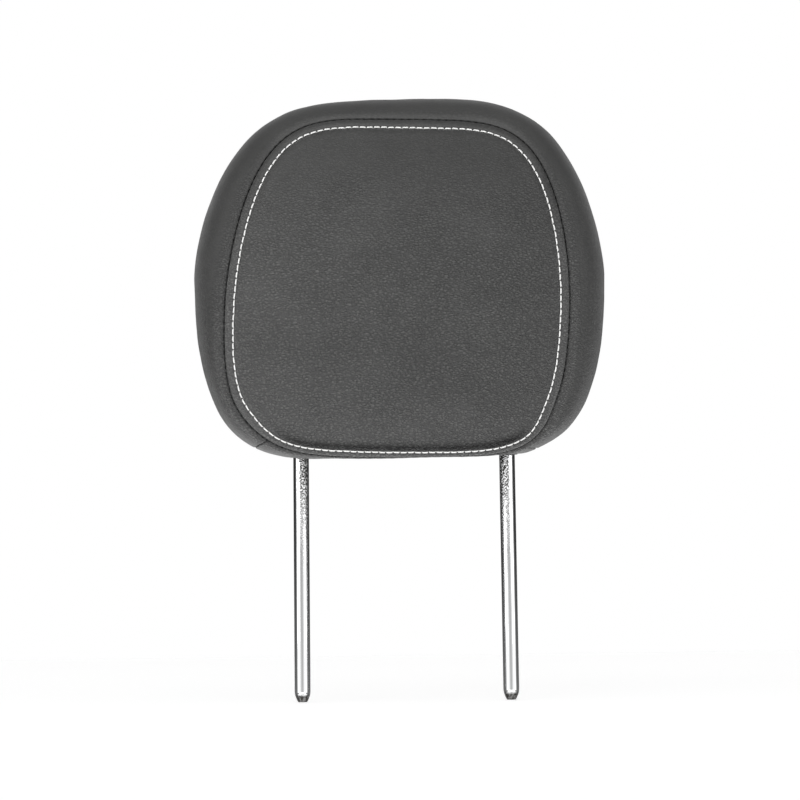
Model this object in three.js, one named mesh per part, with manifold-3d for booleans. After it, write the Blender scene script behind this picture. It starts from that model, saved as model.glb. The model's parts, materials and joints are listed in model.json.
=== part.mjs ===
// A car headrest: a sewn, padded cushion on a bent steel rod whose two chromed ends are the posts.
//
// Millimetres, +Z up, X across the headrest, -Y towards the head. The origin lies midway between the tips of the
// two posts. The cushion has a frame of its own, which leans forwards over the posts: x across, y backwards from
// the plane of the rod, z up from the underside.

import * as THREE from "three";
import { mergeVertices } from "three/addons/utils/BufferGeometryUtils.js";
import Module from "manifold-3d";

const wasm = await Module();
wasm.setup();

// Clearance between pieces that touch or fit into each other.
const CLEARANCE = 0.3;

// Rod: one steel bar bent into a U, with a small kink where it enters the cushion.
const POST_DIAMETER = 10;
const POST_PITCH = 132;
const POST_EXPOSED = 154.5;
const TIP_LENGTH = 5.4;
const TIP_DIAMETER = 5.9;
const KINK_RISE = 16;
const KINK_RADIUS = 40;
const ROD_TOP = 166;
const ROD_CORNER_RADIUS = 30;
const ROD_SIDES = 14;

// Height notches across the back of the left post.
const NOTCH_COUNT = 5;
const NOTCH_PITCH = 20;
const NOTCH_FIRST = 42;
const NOTCH_HEIGHT = 5;
const NOTCH_DEPTH = 1.8;
const NOTCH_RAMP = 2.2;

// Cushion: outlines seen from the front, with the corners' fullness across and along.
const LEAN = THREE.MathUtils.degToRad(6);
const WIDEST = {
  halfWidth: 131.9,
  bottom: 0,
  waist: 114.4,
  top: 229.9,
  topCorner: [3.88, 1.56],
  bottomCorner: [5.64, 2.25],
};
const FRONT_SEAM = {
  halfWidth: 107.4,
  bottom: 0.4,
  waist: 94.5,
  top: 212,
  topCorner: [4.78, 1.68],
  bottomCorner: [4.63, 2.87],
};
const BACK_SEAM = {
  halfWidth: 101,
  bottom: 5,
  waist: 96,
  top: 206,
  topCorner: [3.8, 1.8],
  bottomCorner: [4.4, 2.3],
};

// Cushion: depths, measured from the plane of the rod.
const WIDEST_DEPTH = 4;
const FRONT_CROWN = 54;
const FRONT_SEAM_DEPTH = 45;
const FRONT_SWEEP = { side: 5.4, top: 11.6, bottom: 8.3 };
const FRONT_FULLNESS = 3.25;
const BACK_CROWN = 52;
const BACK_SEAM_DEPTH = 41;
const BACK_SWEEP = { side: 7, top: 11, bottom: 6 };
const BACK_FULLNESS = 2.6;
const HUB_HEIGHT = 100;

// Cover: leather laminated to thin foam, cut in panels and sewn edge to edge.
const COVER_THICKNESS = 3;
const HEM_EXTRA = 1.2;
const STITCH_MARGIN = 6;
const BAND_PUFF = 1.1;
const GUSSET_PUFF = 1.6;
const THREAD_DIAMETER = 0.7;
const THREAD_CLEARANCE = 0.45;
const BOTTOM_PANEL_WIDTH = 166;

// Top stitch along the front panel, in a thicker contrast thread.
const STITCH_LENGTH = 4.4;
const TOP_THREAD_DIAMETER = 1.1;
const TOP_THREAD_WAIST = 0.55;

// Core: two moulded half shells that clamp the rod between them.
const CORE_HALF_WIDTH = 88;
const CORE_BOTTOM = 21;
const CORE_TOP = 190;
const CORE_TOP_RADIUS = 46;
const CORE_BOTTOM_RADIUS = 18;
const CORE_FRONT_DEPTH = 21;
const CORE_REAR_DEPTH = 19;
const CORE_WALL = 2.5;
const RIB_THICKNESS = 2;
const RIB_SPACING_X = 29;
const RIB_HEIGHTS = [58, 100, 142];
const SADDLE_WIDTH = 18;
const SADDLE_LENGTH = 9;
const SADDLE_HEIGHTS = [36, 79, 121];
const BOSS_DIAMETER = 9;
const SCREW_X = 43;
const SCREW_HEIGHTS = [46, 154];
const SCREW_DIAMETER = 3.5;
const SCREW_HEAD_DIAMETER = 7.6;
const SCREW_HEAD_HEIGHT = 2.6;
const SCREW_LENGTH = 28;
const SCREW_SLOT = 1.1;

// Grommets: a collar round each post, level with the leather, on a flange inside the cover.
const GROMMET_FLANGE_DIAMETER = 20;
const GROMMET_FLANGE_THICKNESS = 1.6;
const GROMMET_COLLAR_DIAMETER = 13.6;
const GROMMET_COLLAR_RISE = 2.4;

// Closure of the underside: two hooked plastic strips behind the slit between the flaps.
const SLIT_WIDTH = 0.8;
const STRIP_THICKNESS = 1.4;
const STRIP_PLATE = 9;
const STRIP_HOOK_HEIGHT = 7;
const STRIP_HOOK_REACH = 4.4;
const STRIP_END_GAP = 3;

// How finely the curved cover is drawn.
const BOTTOM_COLUMNS = 12;
const SIDE_COLUMNS = 42;
const FRONT_RINGS = [0.45, 0.74, 0.88];
const BACK_RINGS = [0.4, 0.7, 0.88];
const GUSSET_STEPS = [0, 0.16, 0.36, 0.66, 1, 1.34, 1.68, 2];

const POST_RADIUS = POST_DIAMETER / 2;
const POST_X = POST_PITCH / 2;

// Distance along either panel from a seam to the panel's cut edge, wide enough for the thread at a square corner.
const SEAM_EDGE = (THREAD_DIAMETER / 2 + THREAD_CLEARANCE) * Math.SQRT2;

// Closed geometry from vertices and triangles.
class Builder {
  constructor() {
    this.positions = [];
    this.triangles = [];
  }

  vertex(point) {
    this.positions.push(point.x, point.y, point.z);
    return this.positions.length / 3 - 1;
  }

  row(points) {
    return points.map((point) => this.vertex(point));
  }

  triangle(a, b, c) {
    this.triangles.push(a, b, c);
  }

  quad(a, b, c, d) {
    this.triangle(a, b, c);
    this.triangle(a, c, d);
  }

  // Strip of quads between two rows of vertices, facing the way that (next row) x (next column) points.
  strip(rowA, rowB, closed) {
    const last = closed ? rowA.length : rowA.length - 1;
    for (let i = 0; i < last; i++) {
      const n = (i + 1) % rowA.length;
      this.quad(rowA[i], rowB[i], rowB[n], rowA[n]);
    }
  }

  fan(pole, row) {
    row.forEach((vertex, i) => this.triangle(pole, vertex, row[(i + 1) % row.length]));
  }

  geometry() {
    const geometry = new THREE.BufferGeometry();
    geometry.setAttribute("position", new THREE.Float32BufferAttribute(this.positions, 3));
    geometry.setIndex(this.triangles);
    return geometry;
  }
}

// Solids for joining and cutting.
function solid(geometry) {
  const bare = geometry.clone();
  bare.deleteAttribute("normal");
  bare.deleteAttribute("uv");
  const merged = mergeVertices(bare, 1e-4);
  return new wasm.Manifold(
    new wasm.Mesh({
      numProp: 3,
      vertProperties: new Float32Array(merged.attributes.position.array),
      triVerts: new Uint32Array(merged.index.array),
    }),
  );
}

function geometryOf(manifold) {
  const mesh = manifold.getMesh();
  const geometry = new THREE.BufferGeometry();
  geometry.setAttribute("position", new THREE.BufferAttribute(mesh.vertProperties, 3));
  geometry.setIndex(new THREE.BufferAttribute(mesh.triVerts, 1));
  return geometry;
}

function box(x0, x1, y0, y1, z0, z1) {
  const geometry = new THREE.BoxGeometry(x1 - x0, y1 - y0, z1 - z0);
  return solid(geometry.translate((x0 + x1) / 2, (y0 + y1) / 2, (z0 + z1) / 2));
}

// Cylinder along z, from z0 to z1.
function upright(radius, z0, z1, x, y, sides = 18) {
  const geometry = new THREE.CylinderGeometry(radius, radius, z1 - z0, sides);
  return solid(geometry.rotateX(Math.PI / 2).translate(x, y, (z0 + z1) / 2));
}

// Cylinder along y, from y0 to y1.
function crosswise(radius, y0, y1, x, z, sides = 10) {
  const geometry = new THREE.CylinderGeometry(radius, radius, y1 - y0, sides);
  return solid(geometry.translate(x, (y0 + y1) / 2, z));
}

// Frames
const cushionFrame = new THREE.Matrix4()
  .makeTranslation(0, 0, POST_EXPOSED + KINK_RISE)
  .multiply(new THREE.Matrix4().makeRotationX(LEAN))
  .multiply(new THREE.Matrix4().makeTranslation(0, 0, -KINK_RISE));
const toCushion = cushionFrame.clone().invert();

// Where the upright post crosses the underside, in the cushion's frame.
const POST_Y = -KINK_RISE * Math.tan(LEAN);

// Stations along a polyline whose inner corners are bent to a radius.
function bentPath(corners, radii, steps) {
  const stations = [];
  const directions = corners.slice(1).map((corner, i) => corner.clone().sub(corners[i]).normalize());
  stations.push({ point: corners[0].clone(), tangent: directions[0] });
  for (let i = 1; i < corners.length - 1; i++) {
    const [before, after] = [directions[i - 1], directions[i]];
    const angle = before.angleTo(after);
    const radius = radii[i - 1];
    const start = corners[i].clone().addScaledVector(before, -radius * Math.tan(angle / 2));
    const axis = before.clone().cross(after).normalize();
    const centre = start.clone().addScaledVector(axis.clone().cross(before), radius);
    const bends = steps[i - 1];
    for (let k = 0; k <= bends; k++) {
      const turn = (angle * k) / bends;
      const point = start.clone().sub(centre).applyAxisAngle(axis, turn).add(centre);
      stations.push({ point, tangent: before.clone().applyAxisAngle(axis, turn) });
    }
  }
  stations.push({ point: corners.at(-1).clone(), tangent: directions.at(-1) });
  return stations;
}

// Round bar through the stations, each with its own radius.
function sweep(stations, radiusAt, sides, closed = false) {
  const builder = new Builder();
  let side = new THREE.Vector3(0, 1, 0);
  let previous = stations[0].tangent;
  const rings = stations.map(({ point, tangent }, i) => {
    side.applyQuaternion(new THREE.Quaternion().setFromUnitVectors(previous, tangent));
    side.addScaledVector(tangent, -side.dot(tangent)).normalize();
    previous = tangent;
    const up = new THREE.Vector3().crossVectors(tangent, side);
    const radius = radiusAt(i);
    const points = [];
    for (let k = 0; k < sides; k++) {
      const turn = (2 * Math.PI * k) / sides;
      const offset = side.clone().multiplyScalar(radius * Math.cos(turn));
      points.push(offset.addScaledVector(up, radius * Math.sin(turn)).add(point));
    }
    return builder.row(points);
  });
  for (let i = 0; i + 1 < rings.length; i++) builder.strip(rings[i + 1], rings[i], true);
  if (closed) {
    builder.strip(rings[0], rings.at(-1), true);
  } else {
    builder.fan(builder.vertex(stations[0].point), rings[0].slice().reverse());
    builder.fan(builder.vertex(stations.at(-1).point), rings.at(-1));
  }
  return builder.geometry();
}

// The rod's centre line, in the part's frame: up the left post, over the U and down the right one.
function rodStations() {
  const leg = (side) => [
    new THREE.Vector3(side * POST_X, 0, 0),
    new THREE.Vector3(side * POST_X, 0, TIP_LENGTH),
    new THREE.Vector3(side * POST_X, 0, KINK_RISE).applyMatrix4(cushionFrame),
    new THREE.Vector3(side * POST_X, 0, ROD_TOP).applyMatrix4(cushionFrame),
  ];
  const [tip, neck, kink, corner] = leg(-1);
  const bends = [KINK_RADIUS, ROD_CORNER_RADIUS, ROD_CORNER_RADIUS, KINK_RADIUS];
  const path = bentPath([neck, kink, corner, ...leg(1).reverse().slice(0, 3)], bends, [2, 6, 6, 2]);
  const down = new THREE.Vector3(0, 0, -1);
  return [
    { point: tip, tangent: down.clone().negate() },
    ...path,
    { point: leg(1)[0], tangent: down },
  ];
}

// The rod's stations in the cushion's frame, for what is shaped round it.
function rodInCushion() {
  return rodStations().map(({ point, tangent }) => ({
    point: point.clone().applyMatrix4(toCushion),
    tangent: tangent.clone().transformDirection(toCushion),
  }));
}

function rodRoom(extra) {
  return solid(sweep(rodInCushion(), () => POST_RADIUS + extra, ROD_SIDES));
}

// One notch: square at the top, where the lock bears, and ramped below, so that the post can be raised.
function notchCutter(z) {
  const section = new THREE.Shape([
    new THREE.Vector2(0, 0),
    new THREE.Vector2(NOTCH_DEPTH, NOTCH_RAMP),
    new THREE.Vector2(NOTCH_DEPTH, NOTCH_HEIGHT),
    new THREE.Vector2(-1, NOTCH_HEIGHT),
    new THREE.Vector2(-1, -NOTCH_RAMP / NOTCH_DEPTH),
  ]);
  const geometry = new THREE.ExtrudeGeometry(section, { depth: POST_DIAMETER, bevelEnabled: false });
  // The section's x runs forwards from the back of the post, its y up and its depth across.
  const place = new THREE.Matrix4().makeBasis(
    new THREE.Vector3(0, -1, 0),
    new THREE.Vector3(0, 0, 1),
    new THREE.Vector3(-1, 0, 0),
  );
  place.setPosition(-POST_X + POST_RADIUS, POST_RADIUS, z);
  return solid(geometry.applyMatrix4(place));
}

function rodGeometry() {
  const stations = rodStations();
  const last = stations.length - 1;
  const radiusAt = (i) => (i === 0 || i === last ? TIP_DIAMETER / 2 : POST_RADIUS);
  let rod = solid(sweep(stations, radiusAt, ROD_SIDES));
  for (let i = 0; i < NOTCH_COUNT; i++) rod = rod.subtract(notchCutter(NOTCH_FIRST + i * NOTCH_PITCH));
  return geometryOf(rod);
}

// Outline of the cushion at one depth: flat across the top and bottom, with full corners. t runs from the middle
// of the underside over the right side, the top and the left side.
class CushionOutline extends THREE.Curve {
  constructor(shape) {
    super();
    this.shape = shape;
    this.arcLengthDivisions = 900;
  }

  getPoint(t, target = new THREE.Vector3()) {
    const { halfWidth, bottom, waist, top, topCorner, bottomCorner } = this.shape;
    const angle = 2 * Math.PI * t - Math.PI / 2;
    const [cos, sin] = [Math.cos(angle), Math.sin(angle)];
    const [across, along] = sin > 0 ? topCorner : bottomCorner;
    const x = halfWidth * Math.sign(cos) * Math.abs(cos) ** (2 / across);
    const z = (sin > 0 ? top - waist : bottom - waist) * Math.abs(sin) ** (2 / along);
    return target.set(x, 0, waist + z);
  }
}

const widestOutline = new CushionOutline(WIDEST);
const frontOutline = new CushionOutline(FRONT_SEAM);
const backOutline = new CushionOutline(BACK_SEAM);

// A seam bows in depth: its sides, top and bottom lie nearer the rod than its middle would.
function bow(point, outline, sweepBack) {
  const { halfWidth, bottom, waist, top } = outline;
  const across = sweepBack.side * (point.x / halfWidth) ** 2;
  const above = point.z > waist;
  const height = (point.z - waist) / (above ? top - waist : waist - bottom);
  return across + (above ? sweepBack.top : sweepBack.bottom) * height ** 2;
}

const wrap = (u) => u - Math.floor(u);

function frontSeam(u) {
  const point = frontOutline.getPointAt(wrap(u));
  point.y = -FRONT_SEAM_DEPTH + bow(point, FRONT_SEAM, FRONT_SWEEP);
  return point;
}

function backSeam(u) {
  const point = backOutline.getPointAt(wrap(u));
  point.y = BACK_SEAM_DEPTH - bow(point, BACK_SEAM, BACK_SWEEP);
  return point;
}

function widest(u) {
  const point = widestOutline.getPointAt(wrap(u));
  point.y = WIDEST_DEPTH;
  return point;
}

// The gusset, from the front seam at s = 0 over the widest outline at s = 1 to the back seam at s = 2.
function gussetPoint(u, s) {
  const seam = s < 1 ? frontSeam(u) : backSeam(u);
  const rim = widest(u);
  const turn = ((s < 1 ? s : 2 - s) * Math.PI) / 2;
  const point = seam.clone().lerp(rim, Math.sin(turn));
  point.y = seam.y + (rim.y - seam.y) * (1 - Math.cos(turn));
  const width = Math.hypot(rim.x - seam.x, rim.z - seam.z);
  const share = Math.min(1, width / (WIDEST.halfWidth - FRONT_SEAM.halfWidth));
  point.y += Math.sign(seam.y) * GUSSET_PUFF * share * Math.sin(2 * turn) ** 2;
  return point;
}

// A crowned panel inside a seam, from its hub at r = 0 to the seam at r = 1, with a puffed band along the edge.
function panelPoint(seam, crown, fullness, puff, r) {
  const hub = new THREE.Vector3(0, crown, HUB_HEIGHT);
  const point = hub.clone().lerp(seam, r);
  point.y = crown + (seam.y - crown) * r ** fullness;
  const margin = ((1 - r) * hub.distanceTo(seam)) / STITCH_MARGIN;
  if (margin < 1) point.y += Math.sign(crown) * puff * Math.sin(Math.PI * margin);
  return point;
}

const frontPoint = (u, r) => panelPoint(frontSeam(u), -FRONT_CROWN, FRONT_FULLNESS, BAND_PUFF, r);
const backPoint = (u, r) => panelPoint(backSeam(u), BACK_CROWN, BACK_FULLNESS, 0, 2 - r);

// Outward normal of a surface whose second parameter runs from the front of the cushion to its back.
function normalOf(surface, u, s) {
  const step = 1e-3;
  const alongS = surface(u, s + step).sub(surface(u, s - step));
  const alongU = surface(u + step, s).sub(surface(u - step, s));
  return alongS.cross(alongU).normalize();
}

// The share of the way from hub to seam at which a panel is a given distance inside the seam.
function shareInside(seam, crown, distance) {
  return 1 - distance / new THREE.Vector3(0, crown, HUB_HEIGHT).distanceTo(seam);
}

const frontShare = (u, distance) => shareInside(frontSeam(u), -FRONT_CROWN, distance);
const backShare = (u, distance) => 2 - shareInside(backSeam(u), BACK_CROWN, distance);

// How far along the gusset a point lies a given distance from the front seam, or from the back one.
function gussetShare(u, distance, end) {
  const step = 0.002;
  const start = gussetPoint(u, end);
  let s = end;
  while (gussetPoint(u, s).distanceTo(start) < distance) s += end === 0 ? step : -step;
  return s;
}

// The direction that halves the angle between the two panels at a seam, in which both panels' edges are cut.
function mitre(u, end) {
  const onGusset = normalOf(gussetPoint, u, gussetShare(u, SEAM_EDGE, end));
  const onPanel =
    end === 0
      ? normalOf(frontPoint, u, frontShare(u, SEAM_EDGE))
      : normalOf(backPoint, u, backShare(u, SEAM_EDGE));
  return onGusset.add(onPanel).normalize();
}

// Columns of the cover: across the underside between the two bottom seams, and over the sides and the top.
const BOTTOM_SHARE = BOTTOM_PANEL_WIDTH / 2 / frontOutline.getLength();
const SIDE_SHARE = SEAM_EDGE / frontOutline.getLength();

function spaced(from, to, count) {
  return Array.from({ length: count + 1 }, (_, i) => from + ((to - from) * i) / count);
}

const bottomColumns = spaced(-BOTTOM_SHARE, BOTTOM_SHARE, BOTTOM_COLUMNS);
const sideColumns = spaced(BOTTOM_SHARE, 1 - BOTTOM_SHARE, SIDE_COLUMNS);
const allColumns = [...bottomColumns.slice(0, -1), ...sideColumns.slice(0, -1)];

// One row of a surface over the columns: points, the direction towards the inside, and the cover's thickness.
function row(columns, surface, shareAt, inwards, thickness) {
  return columns.map((u) => {
    const s = shareAt(u);
    return { point: surface(u, s), inward: inwards(u, s).clone().negate(), thickness };
  });
}

function frontRows(columns, edge) {
  const normal = (u, s) => normalOf(frontPoint, u, s);
  const rows = FRONT_RINGS.map((r) => row(columns, frontPoint, () => r, normal, COVER_THICKNESS));
  const margin = (u) => frontShare(u, STITCH_MARGIN);
  rows.push(row(columns, frontPoint, margin, normal, COVER_THICKNESS));
  const band = (u) => frontShare(u, STITCH_MARGIN / 2);
  rows.push(row(columns, frontPoint, band, normal, COVER_THICKNESS + HEM_EXTRA));
  const rim = (u) => frontShare(u, edge);
  rows.push(row(columns, frontPoint, rim, (u) => mitre(u, 0), COVER_THICKNESS + HEM_EXTRA));
  return rows;
}

function backRows(columns, edge) {
  const normal = (u, s) => normalOf(backPoint, u, s);
  const rim = (u) => backShare(u, edge);
  const rows = [row(columns, backPoint, rim, (u) => mitre(u, 2), COVER_THICKNESS)];
  const rings = BACK_RINGS.slice().reverse();
  for (const r of rings) rows.push(row(columns, backPoint, () => 2 - r, normal, COVER_THICKNESS));
  return rows;
}

// The gusset's rows between the two seams, without the seams themselves where edge is 0.
function gussetRows(columns, edge) {
  return GUSSET_STEPS.map((step) => {
    const end = step === 0 || step === 2;
    const shareAt = (u) => (end && edge > 0 ? gussetShare(u, edge, step) : step);
    const inwards = (u, s) => (end ? mitre(u, step) : normalOf(gussetPoint, u, s));
    return row(columns, gussetPoint, shareAt, inwards, COVER_THICKNESS);
  });
}

const outside = (cells) => cells.map(({ point }) => point);
const inside = (cells, extra = 0) =>
  cells.map(({ point, inward, thickness }) => point.clone().addScaledVector(inward, thickness + extra));

// The foam's rows leave the doubled hem its room at the front seam.
const hemmed = (cells) => cells.map((cell) => ({ ...cell, thickness: cell.thickness + HEM_EXTRA }));

// A sheet of cover between an outer and an inner grid. poles closes the rows that end a round panel.
function sheet(rows, { closed, firstPole, lastPole }) {
  const builder = new Builder();
  const outer = rows.map((cells) => builder.row(outside(cells)));
  const inner = rows.map((cells) => builder.row(inside(cells)));
  for (let j = 0; j + 1 < rows.length; j++) {
    builder.strip(outer[j], outer[j + 1], closed);
    builder.strip(inner[j + 1], inner[j], closed);
  }
  const [first, last] = [0, rows.length - 1];
  if (firstPole) {
    builder.fan(builder.vertex(firstPole.outer), outer[first]);
    builder.fan(builder.vertex(firstPole.inner), inner[first].slice().reverse());
  } else {
    builder.strip(inner[first], outer[first], closed);
  }
  if (lastPole) {
    builder.fan(builder.vertex(lastPole.outer), outer[last].slice().reverse());
    builder.fan(builder.vertex(lastPole.inner), inner[last]);
  } else {
    builder.strip(outer[last], inner[last], closed);
  }
  if (!closed) {
    const end = outer[0].length - 1;
    const edge = (grid, i) => grid.map((cells) => cells[i]);
    builder.strip(edge(outer, 0), edge(inner, 0), false);
    builder.strip(edge(inner, end), edge(outer, end), false);
  }
  return builder.geometry();
}

const hub = (y) => new THREE.Vector3(0, y, HUB_HEIGHT);

function frontPanelGeometry() {
  const firstPole = { outer: hub(-FRONT_CROWN), inner: hub(-FRONT_CROWN + COVER_THICKNESS) };
  return sheet(frontRows(allColumns, SEAM_EDGE), { closed: true, firstPole });
}

function backPanelGeometry() {
  const lastPole = { outer: hub(BACK_CROWN), inner: hub(BACK_CROWN - COVER_THICKNESS) };
  return sheet(backRows(allColumns, SEAM_EDGE), { closed: true, lastPole });
}

// Columns between two bottom seams, drawn in by half a seam at both ends.
function drawnIn(columns) {
  const inner = columns.slice(1, -1);
  return [columns[0] + SIDE_SHARE, ...inner, columns.at(-1) - SIDE_SHARE];
}

function gussetGeometry() {
  return sheet(gussetRows(drawnIn(sideColumns), SEAM_EDGE), { closed: false });
}

// Underside: one sheet, slit across between the posts into a front and a rear flap, with a hole for each grommet.
function undersideSheet() {
  let sheetSolid = solid(sheet(gussetRows(drawnIn(bottomColumns), SEAM_EDGE), { closed: false }));
  const hole = GROMMET_COLLAR_DIAMETER / 2 + CLEARANCE;
  for (const side of [-1, 1]) {
    sheetSolid = sheetSolid.subtract(upright(hole, -KINK_RISE, KINK_RISE, side * POST_X, POST_Y));
  }
  return sheetSolid;
}

function flapGeometry(side) {
  const far = WIDEST.halfWidth;
  const [near, away] = [POST_Y + (side * SLIT_WIDTH) / 2, POST_Y + side * far];
  const half = box(-far, far, Math.min(near, away), Math.max(near, away), -far, far);
  return geometryOf(undersideSheet().intersect(half));
}

// How high the underside's lowest line has risen at a distance from the middle.
function undersideAt(x) {
  const { halfWidth, bottom, waist, bottomCorner } = WIDEST;
  const [across, along] = bottomCorner;
  return waist - (waist - bottom) * (1 - (x / halfWidth) ** across) ** (1 / along);
}

// Grommet: a collar that fills the hole in the leather, and a flange that lies on the leather's inner side.
const COLLAR_FLOOR = undersideAt(POST_X);
const FLANGE_EDGE_X = POST_X + GROMMET_FLANGE_DIAMETER / 2;
const FLANGE_FLOOR = undersideAt(FLANGE_EDGE_X) + COVER_THICKNESS + 2 * CLEARANCE;
const FLANGE_TOP = FLANGE_FLOOR + GROMMET_FLANGE_THICKNESS;
const COLLAR_TOP = FLANGE_TOP + GROMMET_COLLAR_RISE;

function grommetGeometry(side) {
  const flange = upright(GROMMET_FLANGE_DIAMETER / 2, FLANGE_FLOOR, FLANGE_TOP, side * POST_X, POST_Y, 22);
  const collar = upright(GROMMET_COLLAR_DIAMETER / 2, COLLAR_FLOOR, COLLAR_TOP, side * POST_X, POST_Y, 22);
  return geometryOf(flange.add(collar).subtract(rodRoom(CLEARANCE)));
}

// Closure strips
const STRIP_HALF_LENGTH = POST_X - GROMMET_FLANGE_DIAMETER / 2 - STRIP_END_GAP;
const STRIP_FLOOR = COVER_THICKNESS + 3 * CLEARANCE;

function stripGeometry(section) {
  const shape = new THREE.Shape(section.map(([y, z]) => new THREE.Vector2(y, z)));
  const depth = 2 * STRIP_HALF_LENGTH;
  const geometry = new THREE.ExtrudeGeometry(shape, { depth, bevelEnabled: false });
  // The section's x runs backwards, its y up and its depth across.
  const place = new THREE.Matrix4().makeBasis(
    new THREE.Vector3(0, 1, 0),
    new THREE.Vector3(0, 0, 1),
    new THREE.Vector3(1, 0, 0),
  );
  return geometry.applyMatrix4(place.setPosition(-STRIP_HALF_LENGTH, POST_Y, STRIP_FLOOR));
}

// The front strip stands up from its flap and ends in a hook that points forwards.
function frontStripGeometry() {
  const inner = -CLEARANCE;
  const t = STRIP_THICKNESS;
  return stripGeometry([
    [inner, 0],
    [inner, STRIP_HOOK_HEIGHT],
    [inner - STRIP_HOOK_REACH, STRIP_HOOK_HEIGHT],
    [inner - STRIP_HOOK_REACH, STRIP_HOOK_HEIGHT - t],
    [inner - t, STRIP_HOOK_HEIGHT - t],
    [inner - t, t],
    [inner - STRIP_PLATE, t],
    [inner - STRIP_PLATE, 0],
  ]);
}

// The rear strip reaches over the front one and closes round its hook from below.
function rearStripGeometry() {
  const inner = CLEARANCE;
  const t = STRIP_THICKNESS;
  const over = STRIP_HOOK_HEIGHT + CLEARANCE;
  const ahead = -CLEARANCE - STRIP_HOOK_REACH - CLEARANCE;
  const under = STRIP_HOOK_HEIGHT - t - CLEARANCE;
  return stripGeometry([
    [inner, 0],
    [inner + STRIP_PLATE, 0],
    [inner + STRIP_PLATE, t],
    [inner + t, t],
    [inner + t, over + t],
    [ahead - t, over + t],
    [ahead - t, under - t],
    [-2 * CLEARANCE - t, under - t],
    [-2 * CLEARANCE - t, under],
    [ahead, under],
    [ahead, over],
    [inner, over],
  ]);
}

// Core: its outline, shrunk or grown by a margin.
function coreOutline(margin) {
  const [x, bottom, top] = [CORE_HALF_WIDTH + margin, CORE_BOTTOM - margin, CORE_TOP + margin];
  const [low, high] = [CORE_BOTTOM_RADIUS + margin, CORE_TOP_RADIUS + margin];
  const shape = new THREE.Shape();
  shape.moveTo(-x + low, bottom);
  shape.lineTo(x - low, bottom);
  shape.absarc(x - low, bottom + low, low, -Math.PI / 2, 0, false);
  shape.lineTo(x, top - high);
  shape.absarc(x - high, top - high, high, 0, Math.PI / 2, false);
  shape.lineTo(-x + high, top);
  shape.absarc(-x + high, top - high, high, Math.PI / 2, Math.PI, false);
  shape.lineTo(-x, bottom + low);
  shape.absarc(-x + low, bottom + low, low, Math.PI, 1.5 * Math.PI, false);
  return shape;
}

// A slab of the core's outline between two depths.
function coreSlab(margin, y0, y1) {
  const options = { depth: y1 - y0, bevelEnabled: false, curveSegments: 5 };
  const geometry = new THREE.ExtrudeGeometry(coreOutline(margin), options);
  // The outline's y runs up, and its depth forwards from y1.
  return solid(geometry.rotateX(Math.PI / 2).translate(0, y1, 0));
}

// Places of the four screws, in the cushion's frame.
const screwPlaces = SCREW_HEIGHTS.flatMap((z) => [-1, 1].map((side) => ({ x: side * SCREW_X, z })));

// Ribs, saddles under the rod and screw bosses, over the whole depth of the core.
function coreFilling(y0, y1) {
  const [low, high] = [CORE_BOTTOM, CORE_TOP];
  const far = CORE_HALF_WIDTH;
  const half = RIB_THICKNESS / 2;
  const pieces = [];
  for (const k of [-1, 0, 1]) {
    pieces.push(box(k * RIB_SPACING_X - half, k * RIB_SPACING_X + half, y0, y1, low, high));
  }
  for (const z of RIB_HEIGHTS) pieces.push(box(-far, far, y0, y1, z - half, z + half));
  for (const side of [-1, 1]) {
    for (const z of SADDLE_HEIGHTS) {
      const [x0, x1] = [side * POST_X - SADDLE_WIDTH / 2, side * POST_X + SADDLE_WIDTH / 2];
      pieces.push(box(x0, x1, y0, y1, z - SADDLE_LENGTH / 2, z + SADDLE_LENGTH / 2));
    }
    const x = (side * RIB_SPACING_X) / 2;
    const top = [ROD_TOP - SADDLE_WIDTH / 2, ROD_TOP + SADDLE_WIDTH / 2];
    pieces.push(box(x - SADDLE_LENGTH / 2, x + SADDLE_LENGTH / 2, y0, y1, ...top));
  }
  for (const { x, z } of screwPlaces) pieces.push(crosswise(BOSS_DIAMETER / 2, y0, y1, x, z));
  return wasm.Manifold.union(pieces);
}

// Half shell of the core between its face and the parting plane, open towards the parting plane.
function coreHalf(face, parting) {
  const [y0, y1] = [Math.min(face, parting), Math.max(face, parting)];
  const floor = face + Math.sign(parting - face) * CORE_WALL;
  const beyond = parting + Math.sign(parting - face);
  const pocket = coreSlab(-CORE_WALL, Math.min(floor, beyond), Math.max(floor, beyond));
  const shell = coreSlab(0, y0, y1).subtract(pocket);
  const filling = coreFilling(y0, y1).intersect(coreSlab(-CORE_WALL / 2, y0, y1));
  return shell.add(filling).subtract(rodRoom(CLEARANCE));
}

const PARTING = CLEARANCE / 2;
const SCREW_TIP = CORE_REAR_DEPTH - SCREW_HEAD_HEIGHT - SCREW_LENGTH;

function coreFrontGeometry() {
  let half = coreHalf(-CORE_FRONT_DEPTH, -PARTING);
  for (const { x, z } of screwPlaces) {
    const pilot = crosswise(SCREW_DIAMETER / 2 + CLEARANCE, SCREW_TIP - CLEARANCE, 0, x, z);
    half = half.subtract(pilot);
  }
  return geometryOf(half);
}

function coreRearGeometry() {
  let half = coreHalf(CORE_REAR_DEPTH, PARTING);
  for (const { x, z } of screwPlaces) {
    const seat = CORE_REAR_DEPTH - SCREW_HEAD_HEIGHT - CLEARANCE;
    half = half.subtract(crosswise(SCREW_DIAMETER / 2 + CLEARANCE, -1, CORE_REAR_DEPTH, x, z));
    half = half.subtract(crosswise(SCREW_HEAD_DIAMETER / 2 + CLEARANCE, seat, CORE_REAR_DEPTH + 1, x, z));
  }
  return geometryOf(half);
}

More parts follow.
